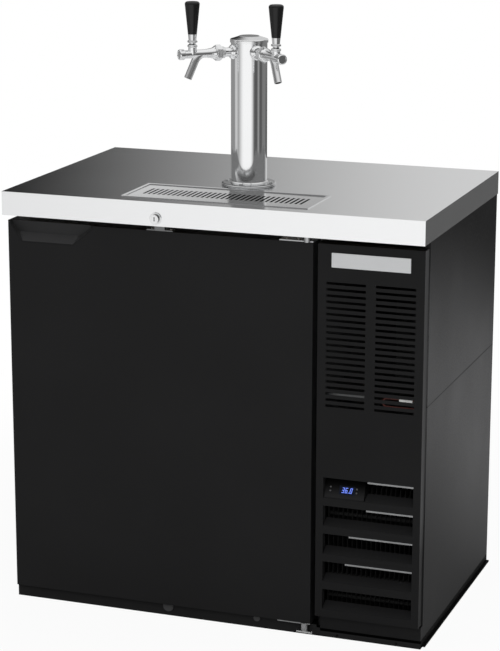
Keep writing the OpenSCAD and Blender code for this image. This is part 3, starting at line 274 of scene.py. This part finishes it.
def embossed_sheet(name, colour, rough, specular, seam_z):
    """Black coated sheet with a pebbled emboss, with painted shade that darkens it at head and foot, with
    dust and one joint line.
    """
    material, f = new_finish(name)
    height = f.axis(Z)
    back = f.axis(Y)
    pebble = f.cells(size=0.0032, feature="SMOOTH_F1")
    fine = f.noise(size=0.0016, detail=2)
    scuff = f.noise(size=0.16, detail=5, stretch=(1, 1, 0.6), rough=0.6)
    speck = f.noise(size=0.006, detail=4)
    grain = f.spread(pebble + 0.3 * fine, 0.25, 0.8)
    tone = f.blend(grain, rgba(colour, 1.15), rgba(colour, 1.6))
    worn = f.blend(f.spread(scuff, 0.3, 0.75), tone, rgba(colour, 1.8))
    # Painted shade: darker towards the top at the back, towards the foot at the front, and near the front
    # edge.
    below_head = f.spread(height + 0.3 * back, 0.88, 0.52)
    above_foot = f.spread(height + 0.5 * back, 0.05, 0.44, 0.16, 1.0)
    behind_front = f.spread(back, -0.2, 0.15, 0.84, 1.0)
    head_foot_painted_shade = f.blend(below_head * above_foot * behind_front, rgba(colour, 0.12), worn)
    dust = f.spread(speck, 0.5, 0.7) * f.spread(height, 0.6, 0.8) * f.spread(back, -0.32, -0.05)
    dusty = f.blend(dust * 0.16, head_foot_painted_shade, rgba(colour, 1.8))
    joint = f.spread(abs(height - seam_z), 0.0016, 0.0006)
    f.surface({
        "Base Color": f.blend(joint, dusty, rgba(colour, 0.3)),
        "Roughness": rough * (0.84 + 0.2 * scuff + 0.1 * fine),
        "Specular IOR Level": specular,
        "Normal": f.bump(pebble + 0.4 * fine, strength=0.45, depth=0.0005),
    })
    return material


def zinc_sheet(name, colour, rough):
    """Plated sheet with a soft spangle."""
    material, f = new_finish(name)
    spangle = f.cells(size=0.011, output="Color")
    grey = f.value("ShaderNodeRGBToBW", None, {0: spangle})
    fine = f.noise(size=0.004, detail=3)
    f.surface({
        "Base Color": f.blend(grey, rgba(colour, 0.88), rgba(colour, 1.06)),
        "Metallic": 1.0,
        "Roughness": rough * (0.8 + 0.25 * grey + 0.2 * fine),
        "Normal": f.bump(fine, strength=0.06, depth=0.0002),
    })
    return material


def moulded_plastic(name, colour, rough):
    """Moulded plastic with a fine grain."""
    material, f = new_finish(name)
    fine = f.noise(size=0.0009, detail=2)
    tone = f.noise(size=0.05, detail=3)
    f.surface({
        "Base Color": f.blend(tone, rgba(colour, 0.92), rgba(colour, 1.08)),
        "Roughness": rough * (0.85 + 0.2 * fine + 0.1 * tone),
        "Normal": f.bump(fine, strength=0.25, depth=0.00008),
    })
    return material


def gloss_black(name, colour):
    """Polished black phenolic with a clear coat and light handling marks."""
    material, f = new_finish(name)
    marks = f.noise(size=0.01, detail=4)
    f.surface({
        "Base Color": f.blend(marks, rgba(colour), rgba(colour, 1.3)),
        "Roughness": 0.3 + 0.1 * marks,
        "Specular IOR Level": 0.34,
        "Coat Weight": 0.12,
        "Coat Roughness": 0.15,
    })
    return material


def rigid_foam(name, colour):
    """Poured foam with small cells."""
    material, f = new_finish(name)
    cell = f.cells(size=0.002)
    tone = f.noise(size=0.04, detail=4)
    f.surface({
        "Base Color": f.blend(tone, rgba(colour, 0.85), rgba(colour, 1.05)),
        "Roughness": 0.9 - 0.1 * tone,
        "Normal": f.bump(cell, strength=0.4, depth=0.0006),
    })
    return material


def filler_board(name, colour):
    """Pressed board with long flakes."""
    material, f = new_finish(name)
    flake = f.noise(size=0.01, detail=4, stretch=(1, 4, 1))
    f.surface({
        "Base Color": f.blend(flake, rgba(colour, 0.7), rgba(colour, 1.1)),
        "Roughness": 0.7 + 0.2 * flake,
        "Normal": f.bump(flake, strength=0.3, depth=0.0004),
    })
    return material


def soft_vinyl(name, colour):
    """Soft seal with a dull skin."""
    material, f = new_finish(name)
    skin = f.noise(size=0.003, detail=3)
    f.surface({
        "Base Color": f.blend(skin, rgba(colour, 0.8), rgba(colour, 1.25)),
        "Roughness": 0.6 + 0.15 * skin,
        "Normal": f.bump(skin, strength=0.12, depth=0.0003),
    })
    return material


def display_window(name, colour):
    """Dark window of the controller."""
    material, f = new_finish(name)
    tint = f.noise(size=0.02, detail=2)
    f.surface({
        "Base Color": f.blend(tint, rgba(colour), rgba(colour, 1.4)),
        "Roughness": 0.3 + 0.06 * tint,
        "Specular IOR Level": 0.06,
    })
    return material


def lit_figures(name, colour, strength):
    """Lit strokes of the display, a little uneven."""
    material, f = new_finish(name)
    glow = f.noise(size=0.004, detail=2)
    f.surface({
        "Base Color": rgba(colour, 0.2),
        "Emission Color": f.blend(glow, rgba(colour, 0.85), rgba(colour)),
        "Emission Strength": strength,
        "Roughness": 0.4,
    })
    return material


# Mesh helpers


def new_piece(name, mesh_maker, material, body):
    """Makes one detail piece, gives it a finish and hangs it on a body of the frame."""
    build = bmesh.new()
    mesh_maker(build)
    bmesh.ops.recalc_face_normals(build, faces=build.faces)
    mesh = bpy.data.meshes.new(name)
    build.to_mesh(mesh)
    build.free()
    piece = bpy.data.objects.new(name, mesh)
    bpy.context.scene.collection.objects.link(piece)
    mesh.materials.append(material)
    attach(piece, body)


def add_prism(build, outline, depth, place):
    """Adds an outline in X and Y made solid along Z, moved by a matrix."""
    low = [build.verts.new(place @ Vector((x, y, 0))) for x, y in outline]
    high = [build.verts.new(place @ Vector((x, y, depth))) for x, y in outline]
    build.faces.new(low[::-1])
    build.faces.new(high)
    for i in range(len(outline)):
        j = (i + 1) % len(outline)
        build.faces.new((low[i], low[j], high[j], high[i]))


def add_revolve(build, profile, place, count=24):
    """Adds a turned solid about Z from radius and height pairs, moved by a matrix."""
    angles = [math.tau * i / count for i in range(count)]
    rings = []
    for r, z in profile:
        points = [(r * math.cos(a), r * math.sin(a), z) for a in angles] if r else [(0, 0, z)]
        rings.append([build.verts.new(place @ Vector(point)) for point in points])
    for one, two in zip(rings, rings[1:]):
        for i in range(count):
            j = (i + 1) % count
            face = [one[i % len(one)], one[j % len(one)], two[j % len(two)], two[i % len(two)]]
            build.faces.new(list(dict.fromkeys(face)))


def facing(origin, normal, up):
    """Matrix whose Z axis is the normal and whose Y axis leans to up."""
    z = Vector(normal).normalized()
    x = Vector(up).cross(z).normalized()
    y = z.cross(x)
    turn = Matrix((x, y, z)).transposed().to_4x4()
    return Matrix.Translation(Vector(origin)) @ turn


def dress(material, *names):
    """Gives CAD nodes a finish."""
    for name in names:
        for place in NODES[name].material_slots:
            place.material = material


# Settings


class CoolerSettings(bpy.types.PropertyGroup):
    """Colours and small sizes that a user would change."""

    steel: FloatVectorProperty(
        name="Steel",
        description="Colour of the satin steel",
        subtype="COLOR",
        default=(0.92, 0.925, 0.93),
    )
    steel_rough: FloatProperty(
        name="Steel roughness",
        description="Roughness of the counter",
        subtype="FACTOR",
        default=0.17,
    )
    chrome: FloatVectorProperty(
        name="Plating",
        description="Colour of the polished plating",
        subtype="COLOR",
        default=(0.92, 0.925, 0.93),
    )
    black: FloatVectorProperty(
        name="Black",
        description="Colour of the black coat",
        subtype="COLOR",
        default=(0.0088, 0.0088, 0.0091),
    )
    side_black: FloatVectorProperty(
        name="Side black",
        description="Colour of the embossed side sheets",
        subtype="COLOR",
        default=(0.05, 0.05, 0.051),
    )
    zinc: FloatVectorProperty(
        name="Zinc",
        description="Colour of the plated sheets",
        subtype="COLOR",
        default=(0.62, 0.63, 0.64),
    )
    handle: FloatVectorProperty(
        name="Handle",
        description="Colour of the tap handles",
        subtype="COLOR",
        default=(0.0034, 0.0034, 0.0036),
    )
    figures: FloatVectorProperty(
        name="Figures",
        description="Colour of the lit figures",
        subtype="COLOR",
        default=(0.17, 0.27, 1.0),
    )
    reading: StringProperty(
        name="Reading",
        description="Figures on the display",
        default="36.0",
    )
    figure_h: FloatProperty(
        name="Figure height",
        description="Height of the lit figures",
        subtype="DISTANCE",
        unit="LENGTH",
        default=0.0112,
    )
    screw_r: FloatProperty(
        name="Screw head",
        description="Radius of the small screw heads",
        subtype="DISTANCE",
        unit="LENGTH",
        default=0.0036,
    )
    floor_r: FloatProperty(
        name="Floor",
        description="Radius of the stage floor",
        subtype="DISTANCE",
        unit="LENGTH",
        default=2.2,
    )
    lens: FloatProperty(
        name="Lens",
        description="Focal length of the camera in millimetres",
        subtype="DISTANCE_CAMERA",
        default=122.07,
    )


def cooler_settings():
    return bpy.context.scene.cooler


# Operators


class COOLER_OT_stage(bpy.types.Operator):
    """Sets up the camera, the floor, the lights and the surroundings"""

    bl_idname = "cooler.stage"
    bl_label = "Stage"

    def execute(self, context):
        self.camera(context)
        self.floor(context)
        self.lights(context)
        self.surroundings(context)
        context.scene.view_settings.view_transform = "Standard"
        return {"FINISHED"}

    def camera(self, context):
        data = bpy.data.cameras.new("camera")
        data.lens = cooler_settings().lens
        data.sensor_width = SENSOR_WIDTH
        data.clip_end = CLIP_END
        camera = bpy.data.objects.new("camera", data)
        around = math.radians(CAMERA_AROUND)
        above = math.radians(CAMERA_ABOVE)
        level = math.cos(above)
        look = Vector((-math.sin(around) * level, math.cos(around) * level, -math.sin(above)))
        roll = Quaternion((0, 0, 1), math.radians(CAMERA_ROLL))
        camera.location = CAMERA_PLACE
        camera.rotation_mode = "QUATERNION"
        camera.rotation_quaternion = look.to_track_quat("-Z", "Y") @ roll
        context.scene.collection.objects.link(camera)
        context.scene.camera = camera

    def floor(self, context):
        """A pale floor that fades into the white ground with the distance."""
        build = bmesh.new()
        bmesh.ops.create_circle(build, cap_ends=True, segments=96, radius=cooler_settings().floor_r)
        mesh = bpy.data.meshes.new("floor")
        build.to_mesh(mesh)
        build.free()
        floor = bpy.data.objects.new("floor", mesh)
        floor.location.z = -FLOOR_DROP
        context.scene.collection.objects.link(floor)
        material, f = new_finish("floor")
        tone = f.blend(f.noise(size=0.8, detail=2), FLOOR_DARK, FLOOR_PALE)
        away = f.value("ShaderNodeVectorMath", {"operation": "LENGTH"}, {0: f.place()}, "Value")
        shader = f.node("ShaderNodeBsdfPrincipled", None, {"Base Color": tone, "Roughness": 0.9})
        white = f.node("ShaderNodeEmission", None, {"Color": WHITE, "Strength": 1.0})
        seen = f.value("ShaderNodeLightPath", output="Is Camera Ray")
        mix = f.node("ShaderNodeMixShader", None, {0: seen * f.spread(away, 0.8, 1.9, 0.94, 1.0)})
        out = f.node("ShaderNodeOutputMaterial")
        f.tree.links.new(shader.outputs[0], mix.inputs[1])
        f.tree.links.new(white.outputs[0], mix.inputs[2])
        f.tree.links.new(mix.outputs[0], out.inputs[0])
        mesh.materials.append(material)

    def lights(self, context):
        """Soft lamps, each with its place, its target, its size in metres and its power in watts."""
        lamps = (
            ("key", (1.0, -3.7, 2.8), (0, 0, 0.7), 2.4, 62),
            ("fill", (1.75, 0.2, 0.6), (0.45, 0.1, 0.52), 0.7, 6.8),
            ("overhead", (0.2, 0.3, 3.6), (0, 0, 0.9), 2.2, 26),
        )
        for name, where, target, size, power in lamps:
            data = bpy.data.lights.new(name, "AREA")
            data.size = size
            data.energy = power
            lamp = bpy.data.objects.new(name, data)
            lamp.location = where
            lamp.rotation_mode = "QUATERNION"
            lamp.rotation_quaternion = (Vector(target) - Vector(where)).to_track_quat("-Z", "Y")
            lamp.visible_glossy = False
            context.scene.collection.objects.link(lamp)

    def surroundings(self, context):
        """White to the camera; metal sees a plain studio of soft cards round the cooler."""
        world = bpy.data.worlds.new("studio")
        context.scene.world = world
        world.use_nodes = True
        f = Finish(world.node_tree)
        way = f.value("ShaderNodeTexCoord", output="Generated")
        split = f.node("ShaderNodeSeparateXYZ", None, {0: way})
        x, y, z = (Value(f, s) for s in split.outputs)
        path = f.node("ShaderNodeLightPath")
        seen = Value(f, path.outputs["Is Camera Ray"])
        glossy = Value(f, path.outputs["Is Glossy Ray"])
        clear = Value(f, path.outputs["Is Transmission Ray"])
        diffuse = 0.55
        strength = diffuse + glossy * (self.studio(f, x, y, z) - diffuse)
        ground = f.value("ShaderNodeMath", {"operation": "MAXIMUM"}, {0: seen, 1: clear})
        strength = strength + ground * (1 - strength)
        shader = f.node("ShaderNodeBackground", None, {"Color": WHITE, "Strength": strength})
        out = f.node("ShaderNodeOutputWorld")
        f.tree.links.new(shader.outputs[0], out.inputs[0])

    def studio(self, f, x, y, z):
        """Brightness that metal sees each way: a ring of cards, with a sky and a back wall above it."""
        turn = f.value("ShaderNodeMath", {"operation": "ARCTAN2"}, {0: x, 1: -1 * y}) * (180 / math.pi)
        # Each card's turn from the front, half width and soft edge in degrees, and its brightness
        cards = (
            (-80, 60, 30, 0.18),
            (-68, 3, 15, 0.33),
            (82, 2, 9, 0.2),
            (130, 12, 14, 0.1),
        )
        side = 0.1
        for centre, half, soft, level in cards:
            side = side + f.spread(abs(turn - centre), half + soft, half) * level
        front = f.spread(turn, -62, -12) * f.spread(turn, 57, 28)
        ring = side + front * (1 - side)
        wall = f.spread(x, -0.452, -0.225, 0.0, 0.645) * f.spread(x, 0.75, 0.3, 0.2, 1.0)
        wall = wall + f.spread(x, -0.5, -0.62, 0.0, 0.35)
        plain = 0.17 + f.spread(z, 0.25, 0.8) * 0.73
        behind = f.spread(y, 0.5, 0.8)
        sky = plain + behind * (wall - plain)
        over_ring = f.spread(z + behind * 0.12, -0.04, 0.1)
        return ring + over_ring * (sky - ring)


class COOLER_OT_counter(bpy.types.Operator):
    """Finishes the counter, the drip tray, its grate and the bare badge plate"""

    bl_idname = "cooler.counter"
    bl_label = "Counter"

    THIN_SHEET = {"rough": 0.12, "sag": 0.35, "middle": 0.14}

    def execute(self, context):
        s = cooler_settings()
        dress(brushed_steel("satin steel", s.steel, s.steel_rough), "counter_top")
        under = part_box("drip_grate")[0][2]
        # Painted shade: the pan under the grate darkens towards the right; its flange above keeps the plain
        # steel.
        shaded = Change(X, -0.14, 0.02, TRAY_SHADE)
        flange = Change(Z, under - 0.006, under - 0.002, s.steel)
        tray = brushed_steel("tray steel", s.steel, changes=(shaded, flange), **self.THIN_SHEET)
        dress(tray, "drip_tray")
        dress(brushed_steel("grate steel", s.steel, **self.THIN_SHEET), "drip_grate")
        dress(brushed_steel("badge steel", BADGE_STEEL, rough=0.34), "badge_plate")
        dress(filler_board("filler board", BOARD_BROWN), "counter_core")
        return {"FINISHED"}


class COOLER_OT_cabinet(bpy.types.Operator):
    """Finishes the shell, the base, the machine panel and its louvres"""

    bl_idname = "cooler.cabinet"
    bl_label = "Cabinet"

    SEAM_Z = 0.515

    def execute(self, context):
        s = cooler_settings()
        side = embossed_sheet("embossed side", s.side_black, rough=0.55, specular=0.08, seam_z=self.SEAM_Z)
        dress(side, "cabinet_shell")
        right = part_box("grille_panel")[1][0]
        # Painted highlight: the panel's right fold, where it returns to the side, is coloured lighter than
        # its face.
        fold_painted_highlight = Change(X, right - 0.0008, right - 0.0002, FOLD_PAINTED_HIGHLIGHT)
        foot = Change(Z, 0.3, 0.18, s.black)
        panel = powder_coat("panel black", s.black, rough=0.55, specular=0.15, changes=(fold_painted_highlight, foot))
        dress(panel, "grille_panel", "kick_plate")
        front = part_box("base_frame")[0][1]
        # Painted shade: all of the base behind its front face turns near black.
        behind = Change(Y, front + 0.0005, front + 0.0015, BASE_PAINTED_SHADE)
        base = powder_coat("base black", BASE_BLACK, rough=0.6, specular=0.05, changes=(behind,))
        dress(base, "base_frame")
        dress(powder_coat("vane black", VANE_BLACK, rough=0.5, specular=0.12), "louvre_vanes")
        dress(zinc_sheet("plated rail", RAIL_ZINC, rough=0.4), "louvre_rails")
        dress(zinc_sheet("shelf sheet", SHELF_ZINC, rough=0.42), "service_shelf")
        dress(rigid_foam("foam", FOAM_CREAM), "insulation", "door_insulation")
        liner = zinc_sheet("liner sheet", s.zinc, rough=0.34)
        dress(liner, "cabinet_liner", "evaporator_cover", "drain_spud")
        dress(moulded_plastic("plug grey", PLUG_GREY, rough=0.5), "rail_plugs")
        low = Change(Z, 0.12, 0.1, LOW_SCREW_BLACK)
        dress(polished_plating("screw plating", s.chrome, rough=0.22, changes=(low,)), "case_screws")
        return {"FINISHED"}


class COOLER_OT_door(bpy.types.Operator):
    """Finishes the door, its handle cup, seal, hinges and lock"""

    bl_idname = "cooler.door"
    bl_label = "Door"

    def execute(self, context):
        s = cooler_settings()
        low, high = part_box("handle_cup")
        # Painted shadow: the top faces of the door and its cup, under the counter, turn near black.
        top = Change(Z, high[2] - 0.0006, high[2] - 0.0001, DOOR_TOP_PAINTED_SHADOW)
        dress(powder_coat("door black", s.black, rough=0.55, specular=0.18, changes=(top,)), "door_skin")
        # Painted light: the cup is coloured lighter than the door's coat, and lighter again on its lower
        # facet; its front rim keeps the door's black.
        foot = Change(Z, high[2] - 0.025, high[2] - 0.027, CUP_FOOT_PAINTED_LIGHT)
        rim = Change(Y, low[1] + 0.001, low[1] + 0.0003, s.black)
        cup = powder_coat("cup black", CUP_PAINTED_LIGHT, rough=0.5, specular=0.15, changes=(foot, rim, top))
        dress(cup, "handle_cup")
        dress(zinc_sheet("door liner", s.zinc, rough=0.34), "door_liner")
        dress(soft_vinyl("seal vinyl", SEAL_BLACK), "door_gasket")
        dress(zinc_sheet("hinge plate", HINGE_ZINC, rough=0.3), "door_hinge_plates")
        dress(zinc_sheet("strike sheet", STRIKE_ZINC, rough=0.36), "strike_plate")
        dress(polished_plating("bracket plating", s.chrome, rough=0.2), "hinge_brackets")
        dress(polished_plating("lock plating", s.chrome, rough=0.28), "lock_barrel")
        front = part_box("lock_plug")[0][1]
        # Painted shade: the plug turns dark behind its front face, inside the keyway.
        keyway = Change(Y, front + 0.0004, front + 0.0012, KEYWAY_PAINTED_SHADE)
        dress(polished_plating("plug plating", s.chrome, rough=0.24, changes=(keyway,)), "lock_plug")
        return {"FINISHED"}


class COOLER_OT_tower(bpy.types.Operator):
    """Finishes the tower and its taps"""

    bl_idname = "cooler.tower"
    bl_label = "Tower and taps"

    FLANGE_TOP = 0.912

    def execute(self, context):
        s = cooler_settings()
        # Painted dark reflection: the column's flange, below its top, is coloured greyer than the plating.
        flange = Change(Z, self.FLANGE_TOP + 0.002, self.FLANGE_TOP, FLANGE_PAINTED_REFLECTION)
        tower = polished_plating("tower plating", s.chrome, rough=0.07, changes=(flange,))
        dress(tower, "tower_column", "tap_escutcheons")
        dress(polished_plating("nut plating", s.chrome, rough=0.34), "tap_nuts")
        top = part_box("tower_cap")[1][2]
        # Painted dark reflection: the cap's flat top is coloured greyer than its sides.
        crown_painted_reflection = Change(Z, top - 0.0012, top - 0.0004, CROWN_PAINTED_REFLECTION)
        dress(polished_plating("cap plating", s.chrome, rough=0.18, changes=(crown_painted_reflection,)), "tower_cap")
        tap = polished_plating("tap plating", s.chrome, rough=0.1)
        lever = polished_plating("lever plating", LEVER_STEEL, rough=0.12)
        black = gloss_black("handle black", s.handle)
        valve = polished_plating("valve brass", VALVE_BRASS, rough=0.3)
        for side in ("left", "right"):
            dress(tap, *("tap_%s_%s" % (part, side) for part in ("shank", "body", "bonnet")))
            dress(lever, "tap_lever_" + side)
            dress(black, "tap_handle_" + side)
            dress(valve, "tap_plunger_" + side)
        return {"FINISHED"}


class COOLER_OT_controller(bpy.types.Operator):
    """Finishes the controller and lights its display"""

    bl_idname = "cooler.controller"
    bl_label = "Controller"

    FACE_RUN = 18
    FACE_RISE = 38
    FIGURE_LIFT = 0.0005
    FIGURE_DEPTH = 0.00025
    SLANT = 0.16
    STROKES = {
        "0": "abcdef", "1": "bc", "2": "abged", "3": "abgcd", "4": "fgbc",
        "5": "afgcd", "6": "afgedc", "7": "abc", "8": "abcdefg", "9": "abcdfg",
    }

    def execute(self, context):
        s = cooler_settings()
        low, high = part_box("controller_housing")
        # Painted shade: the housing darkens towards its top, under the panel.
        upper = Change(Z, low[2] + 0.006, high[2] - 0.008, HOUSING_SHADE)
        housing = powder_coat("controller black", HOUSING_BLACK, rough=0.5, specular=0.06, changes=(upper,))
        dress(housing, "controller_housing")
        dress(display_window("display window", WINDOW_BLACK), "controller_display")
        keys = moulded_plastic("key grey", KEY_GREY, rough=0.4)
        dress(keys, "button_1", "button_2", "button_3", "button_4")
        lit = lit_figures("lit figures", s.figures, strength=1.1)
        new_piece("display_figures", self.figures, lit, "cabinet")
        return {"FINISHED"}

    def figures(self, build):
        """Lays the reading's figures side by side, centred on the leaning face of the display."""
        s = cooler_settings()
        low, high = (Vector(c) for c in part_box("controller_display"))
        lean = Vector((0, self.FACE_RUN, self.FACE_RISE)).normalized()
        normal = Vector((0, -lean.z, lean.y))
        place = facing((low + high) / 2 + normal * self.FIGURE_LIFT, normal, lean)
        h = s.figure_h
        w, t, gap = 0.43 * h, 0.12 * h, 0.17 * h
        total = sum(t + gap if c == "." else w + gap for c in s.reading) - gap
        x = -total / 2
        for c in s.reading:
            if c == ".":
                self.stroke(build, place, x, -h / 2, x + 1.3 * t, -h / 2 + 1.3 * t)
                x += t + gap
                continue
            bars = {
                "a": (x, h / 2 - t, x + w, h / 2),
                "b": (x + w - t, 0, x + w, h / 2),
                "c": (x + w - t, -h / 2, x + w, 0),
                "d": (x, -h / 2, x + w, -h / 2 + t),
                "e": (x, -h / 2, x + t, 0),
                "f": (x, 0, x + t, h / 2),
                "g": (x, -t / 2, x + w, t / 2),
            }
            for k in self.STROKES[c]:
                self.stroke(build, place, *bars[k])
            x += w + gap

    def stroke(self, build, place, x0, y0, x1, y1):
        """Adds one slanted bar with its corners cut."""
        e = 0.08 * min(x1 - x0, y1 - y0)
        corners = (
            (x0 + e, y0), (x1 - e, y0), (x1, y0 + e), (x1, y1 - e),
            (x1 - e, y1), (x0 + e, y1), (x0, y1 - e), (x0, y0 + e),
        )
        outline = [(x + self.SLANT * y, y) for x, y in corners]
        add_prism(build, outline, self.FIGURE_DEPTH, place)


class COOLER_OT_cooling(bpy.types.Operator):
    """Finishes the cooling machine and the wiring behind the panel"""

    bl_idname = "cooler.cooling"
    bl_label = "Cooling"

    def execute(self, context):
        s = cooler_settings()
        peel = {"grain": 0.003, "depth": 0.0003}
        lacquer = powder_coat("black lacquer", LACQUER_BLACK, rough=0.35, specular=0.5, **peel)
        dress(lacquer, "compressor", "fan_motor", "evaporator_motor")
        coil = powder_coat("coil black", COIL_BLACK, rough=0.7, specular=0.15)
        dress(coil, "condenser_coil", "fan_shroud")
        dress(zinc_sheet("blade sheet", s.zinc, rough=0.35), "fan_blade", "evaporator_coil")
        dress(moulded_plastic("blade black", BLADE_BLACK, rough=0.4), "evaporator_blade")
        dress(moulded_plastic("block white", BLOCK_WHITE, rough=0.45), "terminal_block")
        dress(moulded_plastic("lead red", LEAD_RED, rough=0.5), "red_lead")
        return {"FINISHED"}


class COOLER_OT_fasteners(bpy.types.Operator):
    """Adds the small screw heads of the strike and the hinge plates"""

    bl_idname = "cooler.fasteners"
    bl_label = "Fasteners"

    SHEET = 0.0025
    STRIKE_IN = 0.008
    STRIKE_BACK = 0.012
    HINGE_ALONG = (0.011, 0.036)
    HINGE_BACK = 0.02
    # Radius and height of the head's outline, as shares of its radius
    HEAD = ((0, 0), (1, 0), (0.97, 0.16), (0.72, 0.36), (0.3, 0.44), (0, 0.45))

    def execute(self, context):
        plating = polished_plating("small screw plating", cooler_settings().chrome, rough=0.25)
        new_piece("door_screws", self.heads, plating, "door")
        return {"FINISHED"}

    def heads(self, build):
        r = cooler_settings().screw_r
        head = [(r * out, r * up) for out, up in self.HEAD]
        low, high = (Vector(c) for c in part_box("strike_plate"))
        hinge = Vector(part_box("door_hinge_plates")[0])
        door_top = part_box("door_skin")[1][2]
        places = [
            (x, low.y + self.STRIKE_BACK, low.z + self.SHEET)
            for x in (low.x + self.STRIKE_IN, high.x - self.STRIKE_IN)
        ]
        places += [
            (hinge.x + along, hinge.y + self.HINGE_BACK, door_top + self.SHEET)
            for along in self.HINGE_ALONG
        ]
        for place in places:
            add_revolve(build, head, Matrix.Translation(place))


class COOLER_PT_panel(bpy.types.Panel):
    """Lists the settings and the finishing steps"""

    bl_label = "Cooler"
    bl_idname = "COOLER_PT_panel"
    bl_space_type = "VIEW_3D"
    bl_region_type = "UI"
    bl_category = "Cooler"

    def draw(self, context):
        for name in CoolerSettings.__annotations__:
            self.layout.prop(context.scene.cooler, name)
        for step in STEPS:
            self.layout.operator(step.bl_idname)


STEPS = (
    COOLER_OT_stage,
    COOLER_OT_counter,
    COOLER_OT_cabinet,
    COOLER_OT_door,
    COOLER_OT_tower,
    COOLER_OT_controller,
    COOLER_OT_cooling,
    COOLER_OT_fasteners,
)
CLASSES = (CoolerSettings, *STEPS, COOLER_PT_panel)


def register():
    for cls in CLASSES:
        bpy.utils.register_class(cls)
    bpy.types.Scene.cooler = PointerProperty(type=CoolerSettings)


def unregister():
    del bpy.types.Scene.cooler
    for cls in reversed(CLASSES):
        bpy.utils.unregister_class(cls)


def main():
    register()
    bpy.ops.cooler.stage()
    bpy.ops.cooler.counter()
    bpy.ops.cooler.cabinet()
    bpy.ops.cooler.door()
    bpy.ops.cooler.tower()
    bpy.ops.cooler.controller()
    bpy.ops.cooler.cooling()
    bpy.ops.cooler.fasteners()
    bpy.context.view_layer.update()


if __name__ == "__main__":
    main()
